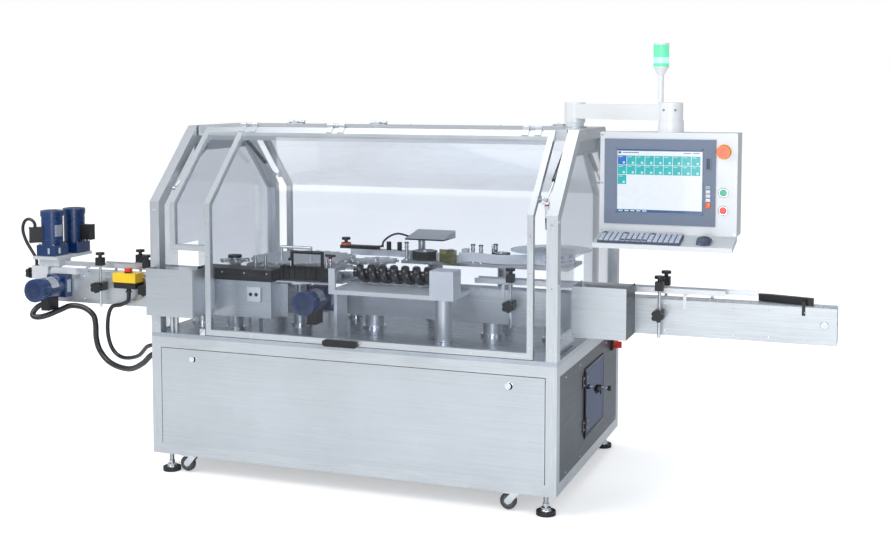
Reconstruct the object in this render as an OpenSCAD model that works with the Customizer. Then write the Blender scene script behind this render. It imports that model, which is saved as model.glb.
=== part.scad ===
/* [Cabinet] */
// Width of the cabinet, left side to right side
cabinet_w = 2000; // [1900:10:2200]
// Depth of the cabinet, front face to back face
cabinet_d = 1225; // [1200:5:1400]
// Height of the cabinet frame
cabinet_h = 566; // [520:2:700]
// Height of the frame's underside above the floor
ground_gap = 98; // [90:1:130]
// Square tube of the cabinet frame
tube = 50; // [40:1:60]
// Wall of the frame tube
tube_wall = 3; // [2:0.5:5]
// Thickness of the table plate
table_t = 20; // [12:1:30]
// Sheet of the cabinet panels
sheet_t = 2; // [1:0.5:3]
// Depth of the folded edge round a panel
fold = 18; // [12:1:24]

/* [Hood] */
// Height of the hood's upright walls above the table
hood_wall_h = 626; // [560:2:760]
// Height of the hood above the table
hood_h = 976; // [920:2:1100]
// Distance that each slope of the hood leans in
hood_inset = 356; // [330:2:380]
// Square tube of the hood's end frames
post = 50; // [40:1:60]
// Square bar of the door frames
stile = 27; // [22:1:32]
// Clear sheet of the hood
clear_t = 5; // [4:0.5:8]
// Opening angle of the front and back doors in degrees
door_open = 70; // [40:1:75]

/* [Conveyors] */
// Height of the bottle lane above the floor
lane_z = 912; // [900:1:940]
// Centre of the feed lane behind the cabinet's front
feed_y = 300; // [290:1:310]
// Centre of the discharge lane behind the cabinet's front
out_y = 475; // [465:1:485]
// Width of a conveyor over its side plates
conveyor_w = 100; // [96:1:120]
// Height of a conveyor's side plates
conveyor_h = 160; // [158:1:180]
// Reach of the feed conveyor beyond the cabinet's left side
feed_reach = 772; // [700:2:1000]
// Reach of the discharge conveyor beyond the cabinet's right side
out_reach = 1111; // [1080:1:1300]
// Diameter of the bottles that the lanes are set for
bottle_d = 50; // [40:1:52]

/* [Carousel and screw] */
// Number of pockets in the carousel
carousel_pockets = 27; // [24:1:28]
// Radius of the carousel's pocket circle
carousel_r = 265; // [260:1:270]
// Number of pockets in the feed star
feed_star_pockets = 8; // [6:1:8]
// Number of pockets in the transfer star
out_star_pockets = 12; // [10:1:12]
// Outer radius of the feed screw
screw_r = 46; // [40:1:46]
// Root radius of the feed screw
screw_root = 22; // [16:1:28]
// Pitch of the feed screw's thread
screw_pitch = 58; // [52:1:60]
// Turns of the feed screw's thread
screw_turns = 7; // [4:1:7]

/* [Control stand] */
// Length of the swing arm between its two pivots
arm_len = 584; // [500:2:620]
// Angle of the swing arm at rest in degrees, seen from above
arm_angle = -31; // [-40:1:-20]
// Width of the control panel
panel_w = 585; // [560:1:640]
// Height of the control panel
panel_h = 435; // [425:1:480]
// Depth of the control panel
panel_d = 140; // [120:1:160]

/* [Label head] */
// Radius of the label reel's clear disc
reel_r = 198; // [140:1:200]
// Radius of the full label roll
roll_r = 116; // [60:1:130]
// Width of the label web
label_w = 60; // [40:1:62]

/* [Hidden] */

// Overrun of every cut, running fit at a pin and the usual gap between pieces
over = 1;
fit = 0.05;
gap = 3;
seat = 0.3;
clear_gap = 1;

// Levels above the floor
frame_top = ground_gap + cabinet_h;
table_z = frame_top + table_t;
bend_z = table_z + hood_wall_h;
top_z = table_z + hood_h;
plate_top = lane_z - 2;
plate_bottom = plate_top - conveyor_h;
slope_a = atan2(hood_inset, top_z - bend_z);

// Overall ends of the machine in X and Y, whose middle is the origin
knob_end_x = -905;
out_end_x = cabinet_w + out_reach;
shield_front = 60;
handle_front_y = -shield_front;
handle_out = 24;
handle_bar_r = 6;
back_end_y = cabinet_d + handle_out + handle_bar_r;
mid_x = (knob_end_x + out_end_x) / 2;
mid_y = (handle_front_y + back_end_y) / 2;

module place() {
    translate([-mid_x, -mid_y, 0]) children();
}

// Block between two places on each axis
module span(x, y, z) {
    translate([x[0], y[0], z[0]]) cube([x[1] - x[0], y[1] - y[0], z[1] - z[0]]);
}

// Round bars along each axis, starting at the given point
module bar_x(p, len, r) {
    translate(p) rotate([0, 90, 0]) cylinder(h = len, r = r, $fn = 48);
}
module bar_y(p, len, r) {
    translate(p) rotate([-90, 0, 0]) cylinder(h = len, r = r, $fn = 48);
}
module bar_z(p, len, r) {
    translate(p) cylinder(h = len, r = r, $fn = 48);
}

// Hollow square tube between two places on each axis
module tube_span(x, y, z) {
    difference() {
        span(x, y, z);
        span([x[0] + tube_wall, x[1] - tube_wall], [y[0] + tube_wall, y[1] - tube_wall],
            [z[0] + tube_wall, z[1] - tube_wall]);
    }
}

// Outline in the Y and Z plane, drawn out along X
module side_profile(x, points) {
    translate([x[0], 0, 0]) rotate([90, 0, 90])
        linear_extrude(height = x[1] - x[0]) polygon(points);
}

// Closed loop of a chain or belt round two shafts along Y
module loop_y(x, y, z, r, t) {
    translate([0, y[1], 0]) rotate([90, 0, 0]) linear_extrude(height = y[1] - y[0]) difference() {
        union() {
            for (end = x) translate([end, z]) circle(r = r, $fn = 64);
            translate([x[0], z - r]) square([x[1] - x[0], 2 * r]);
        }
        for (end = x) translate([end, z]) circle(r = r - t, $fn = 64);
        translate([x[0], z - r + t]) square([x[1] - x[0], 2 * (r - t)]);
    }
}

// Cabinet frame
rail_y = [[0, tube], [cabinet_d - tube, cabinet_d]];
rail_x = [[0, tube], [cabinet_w - tube, cabinet_w]];
rail_z = [[ground_gap, ground_gap + tube], [frame_top - tube, frame_top]];

module cabinet_frame() place() color("silver") {
    for (x = rail_x) for (y = rail_y) tube_span(x, y, [ground_gap, frame_top]);
    for (y = rail_y) for (z = rail_z) tube_span([tube, cabinet_w - tube], y, z);
    for (x = rail_x) for (z = rail_z) tube_span(x, [tube, cabinet_d - tube], z);
}

// Pocket pitch, and the two stars that hand bottles to and from the carousel
carousel_x = 530;
carousel_y = feed_y + carousel_r;
feed_star_r = carousel_r * feed_star_pockets / carousel_pockets;
feed_star_x = carousel_x - 2 * sqrt(carousel_r * feed_star_r);
feed_star_y = feed_y + feed_star_r;
out_star_r = carousel_r * out_star_pockets / carousel_pockets;
out_star_y = out_y + out_star_r;
out_star_x = carousel_x + sqrt(pow(carousel_r + out_star_r, 2) - pow(out_star_y - carousel_y, 2));
carousel_shaft_r = 30;
star_shaft_r = 16;
shafts = [[carousel_x, carousel_y, carousel_shaft_r], [feed_star_x, feed_star_y, star_shaft_r],
    [out_star_x, out_star_y, star_shaft_r]];

// Table plate, with a hole for each of the three shafts
module table_plate() place() color("lightsteelblue") difference() {
    span([0, cabinet_w], [0, cabinet_d], [frame_top, table_z]);
    for (s = shafts) bar_z([s[0], s[1], frame_top - over], table_t + 2 * over, s[2] + clear_gap);
}

// Fixed cabinet panels: left, back, right with its door opening, and the floor pan
side_door_y = 503;
side_door_w = 358;
side_door_z = 235;
side_door_h = 305;
gland_y = 62;
gland_r = 17;
gland_flange_r = 24;
gland_out = 12;
stop_gland_z = 605;
main_gland_z = 560;
switch_y = 1065;
switch_z = 558;
switch_base = 52;
switch_base_t = 12;
module side_sheet(x) {
    z = [ground_gap + tube, frame_top - tube];
    span(x, [tube, cabinet_d - tube], z);
    for (y = [tube, cabinet_d - tube - sheet_t])
        span([x[0] < tube ? x[1] : x[0] - fold, x[0] < tube ? x[1] + fold : x[0]], [y, y + sheet_t], z);
}
module cabinet_panels() place() color("slategray") {
    side_sheet([0, sheet_t]);
    for (z = [stop_gland_z, main_gland_z]) bar_x([-gland_out, gland_y, z], gland_out, gland_flange_r);
    difference() {
        side_sheet([cabinet_w - sheet_t, cabinet_w]);
        span([cabinet_w - sheet_t - over, cabinet_w + over],
            [side_door_y, side_door_y + side_door_w], [side_door_z, side_door_z + side_door_h]);
    }
    span([cabinet_w + seat, cabinet_w + switch_base_t],
        [switch_y - switch_base / 2, switch_y + switch_base / 2],
        [switch_z - switch_base / 2, switch_z + switch_base / 2]);
    span([tube, cabinet_w - tube], [cabinet_d - sheet_t, cabinet_d],
        [ground_gap + tube, frame_top - tube]);
    span([tube, cabinet_w - tube], [tube, cabinet_d - tube],
        [ground_gap + tube, ground_gap + tube + sheet_t]);
}

// Levelling feet, caster plates and the two rigid back caster forks
foot_in = 62;
foot_pad_r = 43;
foot_pad_h = 18;
foot_hub_r = 22;
foot_hub_h = 32;
foot_stem_r = 9;
foot_nut_r = 15;
foot_nut_h = 12;
caster_left_x = 185;
caster_right_in = 200;
caster_y = 62;
caster_plate_t = 5;
caster_plate_w = 72;
wheel_r = 37;
wheel_w = 24;
wheel_lift = 5;
wheel_z = wheel_r + wheel_lift;
trail = 32;
axle_r = 5;
fork_t = 3;
fork_gap = 2;
fork_eye_r = 14;
fork_crown_r = 30;
fork_crown_t = 8;
fork_top = ground_gap - caster_plate_t;
caster_x = [caster_left_x, cabinet_w - caster_right_in];
// The whole row of the axle, cheeks and crown of a fork that trails towards -X
module fork_shape(cx, cy, top) {
    bar_z([cx, cy, top - fork_crown_t], fork_crown_t, fork_crown_r);
    for (s = [-1, 1]) {
        y = s * (wheel_w / 2 + fork_gap + fork_t / 2);
        translate([0, cy + y + fork_t / 2, 0]) rotate([90, 0, 0]) linear_extrude(height = fork_t)
            polygon([[cx - fork_crown_r / 2, top - fork_crown_t], [cx + fork_crown_r * 0.8, top - fork_crown_t],
                [cx - trail + fork_eye_r, wheel_z - fork_eye_r / 2],
                [cx - trail, wheel_z - fork_eye_r], [cx - trail - fork_eye_r, wheel_z - fork_eye_r / 3],
                [cx - trail - fork_eye_r, wheel_z + fork_eye_r / 2]]);
    }
    bar_y([cx - trail, cy - wheel_w / 2 - fork_gap - fork_t, wheel_z],
        wheel_w + 2 * fork_gap + 2 * fork_t, axle_r);
}
module floor_hardware() place() color("gainsboro") {
    for (x = [foot_in, cabinet_w - foot_in]) for (y = [foot_in, cabinet_d - foot_in]) {
        bar_z([x, y, 0], foot_pad_h, foot_pad_r);
        bar_z([x, y, 0], foot_hub_h, foot_hub_r);
        bar_z([x, y, 0], ground_gap, foot_stem_r);
        translate([x, y, ground_gap - foot_nut_h]) cylinder(h = foot_nut_h, r = foot_nut_r, $fn = 6);
        translate([x, y, foot_hub_h + foot_nut_h / 2]) cylinder(h = foot_nut_h, r = foot_nut_r, $fn = 6);
    }
    for (x = caster_x) for (y = [caster_y, cabinet_d - caster_y])
        span([x - caster_plate_w / 2, x + caster_plate_w / 2], [y - caster_y + clear_gap,
            y + caster_y - clear_gap], [fork_top, ground_gap]);
    for (x = caster_x) fork_shape(x, cabinet_d - caster_y, fork_top);
}
module caster_fork_left() place() color("lightgray")
    fork_shape(caster_x[0], caster_y, fork_top - seat);
module caster_fork_right() place() color("lightgray")
    fork_shape(caster_x[1], caster_y, fork_top - seat);

// Caster wheel: tyre with a hub that runs on the fork's axle
module wheel(cx, cy) {
    tread = 4;
    translate([cx - trail, cy + wheel_w / 2, wheel_z]) rotate([90, 0, 0]) difference() {
        rotate_extrude($fn = 72) polygon([
            [axle_r + fit, 0], [wheel_r - 2 * tread, 0], [wheel_r - tread / 2, tread / 2], [wheel_r, tread],
            [wheel_r, wheel_w - tread], [wheel_r - tread / 2, wheel_w - tread / 2],
            [wheel_r - 2 * tread, wheel_w], [axle_r + fit, wheel_w]]);
    }
}
module wheel_front_left() place() color("dimgray") wheel(caster_x[0], caster_y);
module wheel_front_right() place() color("dimgray") wheel(caster_x[1], caster_y);
module wheel_back_left() place() color("dimgray") wheel(caster_x[0], cabinet_d - caster_y);
module wheel_back_right() place() color("dimgray") wheel(caster_x[1], cabinet_d - caster_y);

// Front panel, a folded tray that tips out at its lower edge
panel_x = [tube + gap, cabinet_w - tube - gap];
panel_z = [ground_gap + tube + seat, frame_top - tube - gap];
lock_in = 218;
lock_drop = 45;
lock_z = panel_z[1] - lock_drop;
lock_r = 11;
lock_head_r = 14;
lock_head_t = 2;
lock_cam = [30, 12, 3];
module front_panel() place() color("lightsteelblue") difference() {
    span(panel_x, [0, fold], panel_z);
    span([panel_x[0] + sheet_t, panel_x[1] - sheet_t], [sheet_t, fold + over],
        [panel_z[0] + sheet_t, panel_z[1] - sheet_t]);
    for (x = [lock_in, cabinet_w - lock_in])
        bar_y([x, -over, lock_z], sheet_t + 2 * over, lock_r + fit);
}
module lock(x) {
    bar_y([x, 0, lock_z], fold, lock_r);
    bar_y([x, -lock_head_t, lock_z], lock_head_t, lock_head_r);
    span([x, x + lock_cam[0]], [fold - lock_cam[2], fold],
        [lock_z - lock_cam[1] / 2, lock_z + lock_cam[1] / 2]);
}
module lock_left() place() color("gray") lock(lock_in);
module lock_right() place() color("gray") lock(cabinet_w - lock_in);

// Side door over the electrical bay, with its viewing sheet and latch
door_lap = 12;
latch_y = 770;
latch_z = 404;
latch_r = 7;
latch_base_r = 14;
latch_base_t = 14;
latch_len = 48;
latch_knob_r = 12;
latch_knob_t = 16;
side_door_t = 4;
side_hinge_r = 5;
module side_door() place() color("cornflowerblue") difference() {
    union() {
        span([cabinet_w + seat, cabinet_w + seat + side_door_t],
            [side_door_y - door_lap, side_door_y + side_door_w + door_lap],
            [side_door_z - door_lap, side_door_z + side_door_h + door_lap]);
        bar_z([cabinet_w + seat + side_hinge_r, side_door_y - door_lap, side_door_z],
            side_door_h, side_hinge_r);
    }
    bar_x([cabinet_w, latch_y, latch_z], side_door_t + over, latch_r + fit);
}
module side_latch() place() color("dimgray") {
    start = cabinet_w + seat + side_door_t;
    bar_x([start - side_door_t, latch_y, latch_z], latch_len, latch_r);
    bar_x([start + seat, latch_y, latch_z], latch_base_t, latch_base_r);
    bar_x([start - side_door_t + latch_len, latch_y, latch_z], latch_knob_t, latch_knob_r);
    span([start + latch_base_t - latch_base_t / 2, start + latch_base_t],
        [latch_y - latch_base_r, latch_y + latch_base_r], [latch_z - 2 * latch_base_r, latch_z]);
}

// Main switch: round red knob with a grip
switch_r = 19;
switch_t = 18;
grip_w = 12;
grip_t = 20;
module main_switch() place() color("red") {
    start = cabinet_w + switch_base_t + seat;
    bar_x([start, switch_y, switch_z], switch_t, switch_r);
    span([start, start + switch_t + grip_t], [switch_y - grip_w / 2, switch_y + grip_w / 2],
        [switch_z - switch_r + gap, switch_z + switch_r - gap]);
}

// End frame of the hood: one bent tube arch with a strut bracket at each slope
brace_t = 6;
brace_w = 130;
stud_r = 4;
stud_len = 34;
strut_drop = 100;
strut_in = 44;
anchor_f = [hood_inset + strut_in, top_z - strut_drop];
function arch(t, lower) = [
    [t, lower], [t, bend_z - t * tan(slope_a / 2)],
    [hood_inset + t * tan(45 - slope_a / 2), top_z - t],
    [cabinet_d - hood_inset - t * tan(45 - slope_a / 2), top_z - t],
    [cabinet_d - t, bend_z - t * tan(slope_a / 2)], [cabinet_d - t, lower]];
module hood_arch(x, inner, s) {
    difference() {
        side_profile(x, arch(0, table_z));
        side_profile([x[0] - over, x[1] + over], arch(post, table_z - over));
    }
    // Gusset under the top beam and the struts' upper studs
    span([inner - (s > 0 ? brace_t : 0), inner + (s > 0 ? 0 : brace_t)],
        [anchor_f[0] - brace_w / 2, cabinet_d - anchor_f[0] + brace_w / 2],
        [anchor_f[1] - tube / 2, top_z - post / 2]);
    for (y = [anchor_f[0], cabinet_d - anchor_f[0]])
        bar_x([s > 0 ? inner : inner - stud_len, y, anchor_f[1]], stud_len, stud_r);
}
module hood_left() place() color("silver") hood_arch([0, post], post, 1);
interlock_in = 64;
lock_x = cabinet_w - interlock_in;
lock_y = 62;
lock_rise = 40;
lock_top = bend_z + lock_rise;
lock_len = 108;
module hood_right() place() color("silver") {
    hood_arch([cabinet_w - post, cabinet_w], cabinet_w - post, -1);
    // Door switch beside the right stile
    translate([lock_x, lock_y, lock_top - lock_len]) cylinder(h = lock_len, r1 = stud_r + gap, r2 = 12, $fn = 32);
    span([lock_x, cabinet_w - post + over], [post - 3 * fold / 2, lock_y], [lock_top - lock_len / 2, lock_top - gap]);
}

// Top of the hood: two rails, the roof sheet and fixed hinge leaves
last_hinge_in = 260;
hinge_x = [300, 768, cabinet_w - last_hinge_in];
hinge_w = 90;
hinge_leaf = 34;
hinge_t = 4;
hinge_r = 7;
hinge_drop = 1;
hinge_z = top_z + hinge_t + hinge_r - hinge_drop;
knuckle_share = 1 / 3;
roof_t = 3;
arm_base_r = 56;
arm_base_t = 8;
arm_in = 85;
arm_x = cabinet_w - arm_in;
arm_y = cabinet_d / 2;
module fixed_leaf(x, s) {
    y0 = s > 0 ? hood_inset : cabinet_d - hood_inset;
    y1 = y0 + s * hinge_leaf;
    span([x, x + hinge_w], [min(y0 + s * hinge_r, y1), max(y0 + s * hinge_r, y1)], [top_z, top_z + hinge_t]);
    span([x + hinge_w * knuckle_share + clear_gap, x + hinge_w * (1 - knuckle_share) - clear_gap],
        [min(y0, y1), max(y0, y1)], [top_z + hinge_t - hinge_drop, top_z + hinge_t + hinge_r]);
    bar_x([x, y0, hinge_z], hinge_w, hinge_r / 2);
}
module hood_top() place() color("silver") {
    for (y = [hood_inset + gap, cabinet_d - hood_inset - gap - post])
        span([post + brace_t, cabinet_w - post - brace_t], [y, y + post], [top_z - post, top_z]);
    span([post, cabinet_w - post], [hood_inset + gap + post, cabinet_d - hood_inset - gap - post],
        [top_z - roof_t, top_z]);
    for (x = hinge_x) fixed_leaf(x, 1);
    for (x = hinge_x) fixed_leaf(x, -1);
    bar_z([arm_x, arm_y, top_z], arm_base_t, arm_base_r);
    span([arm_x - arm_base_r, cabinet_w - post], [hood_inset + gap + post, cabinet_d - hood_inset - gap - post],
        [top_z - post / 2, top_z - roof_t]);
}

// Clear sheets in the two end frames, each with the opening that its lane passes through
lane_open_w = 190;
lane_open_top = 1080;
module end_sheet(x, lane_y) {
    difference() {
        side_profile(x, arch(post, table_z));
        span([x[0] - over, x[1] + over], [lane_y - lane_open_w / 2, lane_y + lane_open_w / 2],
            [table_z - over, lane_open_top]);
    }
}
module end_panels() place() color("lightblue") {
    end_sheet([(post - clear_t) / 2, (post + clear_t) / 2], feed_y);
    end_sheet([cabinet_w - (post + clear_t) / 2, cabinet_w - (post - clear_t) / 2], out_y);
}

// Doors, bent like the hood's front: outline of a band of the slope
door_in = 108;
door_x = [door_in, cabinet_w - door_in];
short_x = 296;
short_z = 1083;
door_z = table_z + gap;
door_end = hood_inset - gap;
slope_t = tan(slope_a);
function door_band(outer, inner, lower) = [
    [outer, lower], [outer, bend_z - outer * tan(slope_a / 2)],
    [door_end, bend_z + door_end / slope_t - outer / sin(slope_a)],
    [door_end, bend_z + door_end / slope_t - inner / sin(slope_a)],
    [inner, bend_z - inner * tan(slope_a / 2)], [inner, lower]];
door_top_z = bend_z + door_end / slope_t;
top_rail_drop = 40;
panel_back = (stile + clear_t) / 2;
panel_front = (stile - clear_t) / 2;
anchor_d = [100, 1368];
door_plate_w = 60;
door_dir = [1, 1 / slope_t] / norm([1, 1 / slope_t]);
door_out = [-door_dir[1], door_dir[0]];
door_edge = [door_end, door_top_z];
leaf_points = [door_edge, door_edge - hinge_leaf * door_dir, door_edge - hinge_leaf * door_dir + hinge_t * door_out,
    door_edge + hinge_t * door_out, [hood_inset - hinge_r, hinge_z], [hood_inset, hinge_z - hinge_r / 2]];
module swing_leaf(x) {
    for (side = [0, 1]) {
        x0 = x + side * hinge_w * (1 - knuckle_share);
        difference() {
            union() {
                bar_x([x0, hood_inset, hinge_z], hinge_w * knuckle_share, hinge_r);
                side_profile([x0, x0 + hinge_w * knuckle_share], leaf_points);
            }
            bar_x([x0 - over, hood_inset, hinge_z], hinge_w, hinge_r / 2 + fit);
        }
    }
}
module door_frame(short) {
    left_low = short ? short_z : door_z;
    // Left, middle and right stiles
    side_profile([door_x[0], door_x[0] + stile], door_band(0, stile, left_low));
    if (short) side_profile([short_x, short_x + stile], door_band(0, stile, door_z));
    side_profile([door_x[1] - stile, door_x[1]], door_band(0, stile, door_z));
    // Lower rails
    if (short) {
        span([door_x[0] + stile, short_x], [0, stile], [short_z, short_z + stile]);
        span([short_x + stile, door_x[1] - stile], [0, stile], [door_z, door_z + stile]);
    } else {
        span([door_x[0] + stile, door_x[1] - stile], [0, stile], [door_z, door_z + stile]);
    }
    // Top rail, cut square to the slope's end
    side_profile([door_x[0] + stile, door_x[1] - stile], [
        [door_end - stile, door_top_z - stile / slope_t],
        [door_end, door_top_z], [door_end, door_top_z - stile / sin(slope_a)],
        [door_end - stile, door_top_z - stile / slope_t - stile / sin(slope_a)]]);
    for (x = hinge_x) swing_leaf(x);
    // Studs for the lower ends of the struts
    left_stud = door_x[0] - strut_x[0] - (strut_eye_t + strut_piston_t) / 2 - clear_gap;
    right_stud = strut_x[1] + (strut_eye_t - strut_piston_t) / 2 - clear_gap - door_x[1];
    bar_x([door_x[0] - left_stud, anchor_d[0], anchor_d[1]], left_stud, stud_r);
    bar_x([door_x[1], anchor_d[0], anchor_d[1]], right_stud, stud_r);
    for (x = [door_x[0], door_x[1] - brace_t])
        span([x, x + brace_t], [anchor_d[0] - door_plate_w / 2, anchor_d[0] + door_plate_w / 2],
            [anchor_d[1] - door_plate_w / 4, anchor_d[1] + door_plate_w / 4]);
}
module door_sheets(short) {
    if (short) {
        side_profile([door_x[0] + stile, short_x], door_band(panel_front, panel_back, short_z + stile));
        side_profile([short_x + stile, door_x[1] - stile],
            door_band(panel_front, panel_back, door_z + stile));
    } else {
        side_profile([door_x[0] + stile, door_x[1] - stile],
            door_band(panel_front, panel_back, door_z + stile));
    }
}
// The sheets stop below the top rail
module door_clear(short) {
    difference() {
        door_sheets(short);
        span([0, cabinet_w], [door_end - stile, hood_inset], [bend_z, top_z + over]);
    }
}
module to_back() {
    translate([0, cabinet_d, 0]) mirror([0, 1, 0]) children();
}
module front_door_frame() place() color("silver") door_frame(true);
module front_door_panels() place() color("lightblue") door_clear(true);
module rear_door_frame() place() color("silver") {
    to_back() door_frame(false);
    handle_bar(cabinet_w / 2, cabinet_d, 1);
}
module rear_door_panels() place() color("lightblue") to_back() door_clear(false);

// Door handles: a flat black grip on the front door, a bow on the back door
handle_w = 172;
handle_h = 30;
handle_at = 910;
handle_rise = 10;
module handle_bar(x, y, s) {
    for (dx = [-handle_w / 2, handle_w / 2]) bar_y([x + dx, s > 0 ? y : y - handle_out,
        door_z + stile / 2], handle_out, handle_bar_r);
    bar_x([x - handle_w / 2 - handle_bar_r, s > 0 ? y + handle_out : y - handle_out, door_z + stile / 2],
        handle_w + 2 * handle_bar_r, handle_bar_r);
}
module front_door_handle() place() color("black") difference() {
    hull() for (x = [handle_at + handle_h / 2, handle_at + handle_w - handle_h / 2])
        bar_y([x, -handle_out, door_z + handle_rise], handle_out, handle_h / 2);
    span([handle_at + handle_h / 2, handle_at + handle_w - handle_h / 2],
        [-handle_out + handle_rise / 2, -handle_rise / 2],
        [door_z - handle_h, door_z + handle_rise]);
}

// Gas struts: tube on the hood's stud, rod towards the door's stud
strut_v = [anchor_d[0] - anchor_f[0], anchor_d[1] - anchor_f[1]];
strut_len = norm(strut_v);
strut_a = atan2(strut_v[1], strut_v[0]);
strut_eye_r = 10;
strut_eye_t = 12;
strut_tube_r = 11;
strut_bore_r = 8;
strut_rod_r = 4;
strut_tube_start = 16;
strut_tube_len = 205;
strut_rod_start = 70;
strut_piston_r = 7.5;
strut_piston_t = 10;
strut_x = [post + stud_len - strut_eye_t - clear_gap * 2, cabinet_w - post - stud_len + clear_gap * 2];
module along_strut() {
    translate([0, anchor_f[0], anchor_f[1]]) rotate([strut_a, 0, 0]) children();
}
module strut_tube(x) {
    along_strut() {
        difference() {
            union() {
                bar_x([x, 0, 0], strut_eye_t, strut_eye_r);
                translate([x + strut_eye_t / 2, strut_eye_r / 2, 0]) rotate([-90, 0, 0])
                    cylinder(h = strut_tube_start - strut_eye_r / 2 + over, r = strut_rod_r, $fn = 32);
            }
            bar_x([x - over, 0, 0], strut_eye_t + 2 * over, stud_r + fit);
        }
        difference() {
            bar_y([x + strut_eye_t / 2, strut_tube_start, 0], strut_tube_len, strut_tube_r);
            bar_y([x + strut_eye_t / 2, strut_tube_start + gap, 0], strut_tube_len - 2 * gap, strut_bore_r);
            bar_y([x + strut_eye_t / 2, strut_tube_start, 0], strut_tube_len + over, strut_rod_r + fit);
        }
    }
}
module strut_rod(x) {
    along_strut() {
        bar_y([x + strut_eye_t / 2, strut_rod_start, 0], strut_len - strut_rod_start - strut_eye_r / 2, strut_rod_r);
        bar_y([x + strut_eye_t / 2, strut_rod_start, 0], strut_piston_t, strut_piston_r);
        difference() {
            bar_x([x + (strut_eye_t - strut_piston_t) / 2, strut_len, 0], strut_piston_t, strut_eye_r);
            bar_x([x - over, strut_len, 0], strut_eye_t + 2 * over, stud_r + clear_gap);
        }
    }
}
module front_strut_tubes() place() color("dimgray") for (x = strut_x) strut_tube(x);
module front_strut_rods() place() color("gray") for (x = strut_x) strut_rod(x);
module rear_strut_tubes() place() color("dimgray") to_back() for (x = strut_x) strut_tube(x);
module rear_strut_rods() place() color("gray") to_back() for (x = strut_x) strut_rod(x);

// Conveyors: side plates, cross spacers and end shafts
plate_t = 4;
feed_end = 600;
out_start = 830;
side_plate_x = [1418, 1640];
chain_r = 74;
chain_t = 7;
chain_z = lane_z - chain_r;
chain_play = 3;
shaft_r = 10;
spacer_r = 8;
spacer_pitch = 400;
nose_r = 30;
module conveyor_plate(x, y) {
    span(x, [y, y + plate_t], [plate_bottom, plate_top]);
}
module conveyor(x, cy, shafts) {
    for (y = [cy - conveyor_w / 2, cy + conveyor_w / 2 - plate_t]) difference() {
        conveyor_plate(x, y);
        for (sx = shafts) bar_y([sx, y - over, chain_z], plate_t + 2 * over, shaft_r + fit);
    }
    // Slider bed under the chain's upper run
    span([x[0] + 2 * chain_r, x[1] - 2 * chain_r], [cy - conveyor_w / 2 + plate_t, cy + conveyor_w / 2 - plate_t],
        [lane_z - chain_t - plate_t, lane_z - chain_t]);
    n = floor((x[1] - x[0]) / spacer_pitch);
    for (i = [1 : n]) bar_y([x[0] + i * (x[1] - x[0]) / (n + 1), cy - conveyor_w / 2 + plate_t, chain_z],
        conveyor_w - 2 * plate_t, spacer_r);
}
shaft_in = 80;
feed_shaft_x = -feed_reach + shaft_in;
module feed_conveyor() place() color("silver") {
    conveyor([-feed_reach, feed_end], feed_y, [feed_shaft_x]);
    bar_y([feed_end - shaft_in, feed_y - conveyor_w / 2 + plate_t, chain_z], conveyor_w - 2 * plate_t, shaft_r);
    // Motor bridge over the left end, on its two blocks
    span([bridge_x[0], bridge_x[1]], [feed_y - conveyor_w / 2 - 2 * bridge_t, bridge_back], [bridge_z, bridge_z + bridge_t]);
    span([bridge_x[0] + bridge_t, bridge_x[1] - bridge_t],
        [feed_y - conveyor_w / 2, feed_y + conveyor_w / 2], [block_z[1], bridge_z]);
    span([block_x[0], block_x[1]], [feed_y - conveyor_w / 2 - bridge_t, feed_y + conveyor_w / 2], block_z);
    span([arm_block_x[0], arm_block_x[1]],
        [feed_y - conveyor_w / 2 - 2 * bridge_t, feed_y - conveyor_w / 2], arm_block_z);
}
module discharge_conveyor() place() color("silver") {
    conveyor([out_start, out_end_x], out_y, []);
    span(side_plate_x, [out_y - conveyor_w / 2 - plate_t, out_y - conveyor_w / 2],
        [plate_bottom, rail_low - bracket_h - gap]);
    for (x = [out_start + shaft_in, out_end_x - shaft_in])
        bar_y([x, out_y - conveyor_w / 2 + plate_t, chain_z], conveyor_w - 2 * plate_t, shaft_r);
    span([out_end_x - plate_t, out_end_x], [out_y - conveyor_w / 2 + plate_t, out_y + conveyor_w / 2 - plate_t],
        [plate_bottom, plate_bottom + conveyor_h / 2]);
}

// Slat chains of both conveyors
chain_in = plate_t + chain_play;
module slat_chains() place() color("lightgray") {
    loop_y([feed_shaft_x, feed_end - shaft_in],
        [feed_y - conveyor_w / 2 + chain_in, feed_y + conveyor_w / 2 - chain_in], chain_z, chain_r, chain_t);
    loop_y([out_start + shaft_in, out_end_x - shaft_in],
        [out_y - conveyor_w / 2 + chain_in, out_y + conveyor_w / 2 - chain_in], chain_z, chain_r, chain_t);
}

// Driven sprocket of the feed conveyor on its shaft
sprocket_r = chain_r - chain_t - seat;
sprocket_teeth = 12;
sprocket_w = 40;
tooth_cut_r = 9;
module drive_sprocket() place() color("gray") {
    translate([feed_shaft_x, feed_y + sprocket_w / 2, chain_z]) rotate([90, 0, 0]) difference() {
        cylinder(h = sprocket_w, r = sprocket_r, $fn = 72);
        for (i = [0 : sprocket_teeth - 1]) rotate(i * 360 / sprocket_teeth)
            translate([sprocket_r + tooth_cut_r / 3, 0, -over])
                cylinder(h = sprocket_w + 2 * over, r = tooth_cut_r, $fn = 24);
    }
    bar_y([feed_shaft_x, feed_y - conveyor_w / 2 + seat, chain_z], conveyor_w - 2 * seat, shaft_r);
}

// Gearmotors: round motor, square gearbox, flange and terminal box
motor_r = 54;
motor_len = 178;
fan_len = 26;
fan_r = 57;
gear_w = 112;
gear_len = 55;
box_size = [62, 46, 78];
nut_r = 7;
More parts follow.
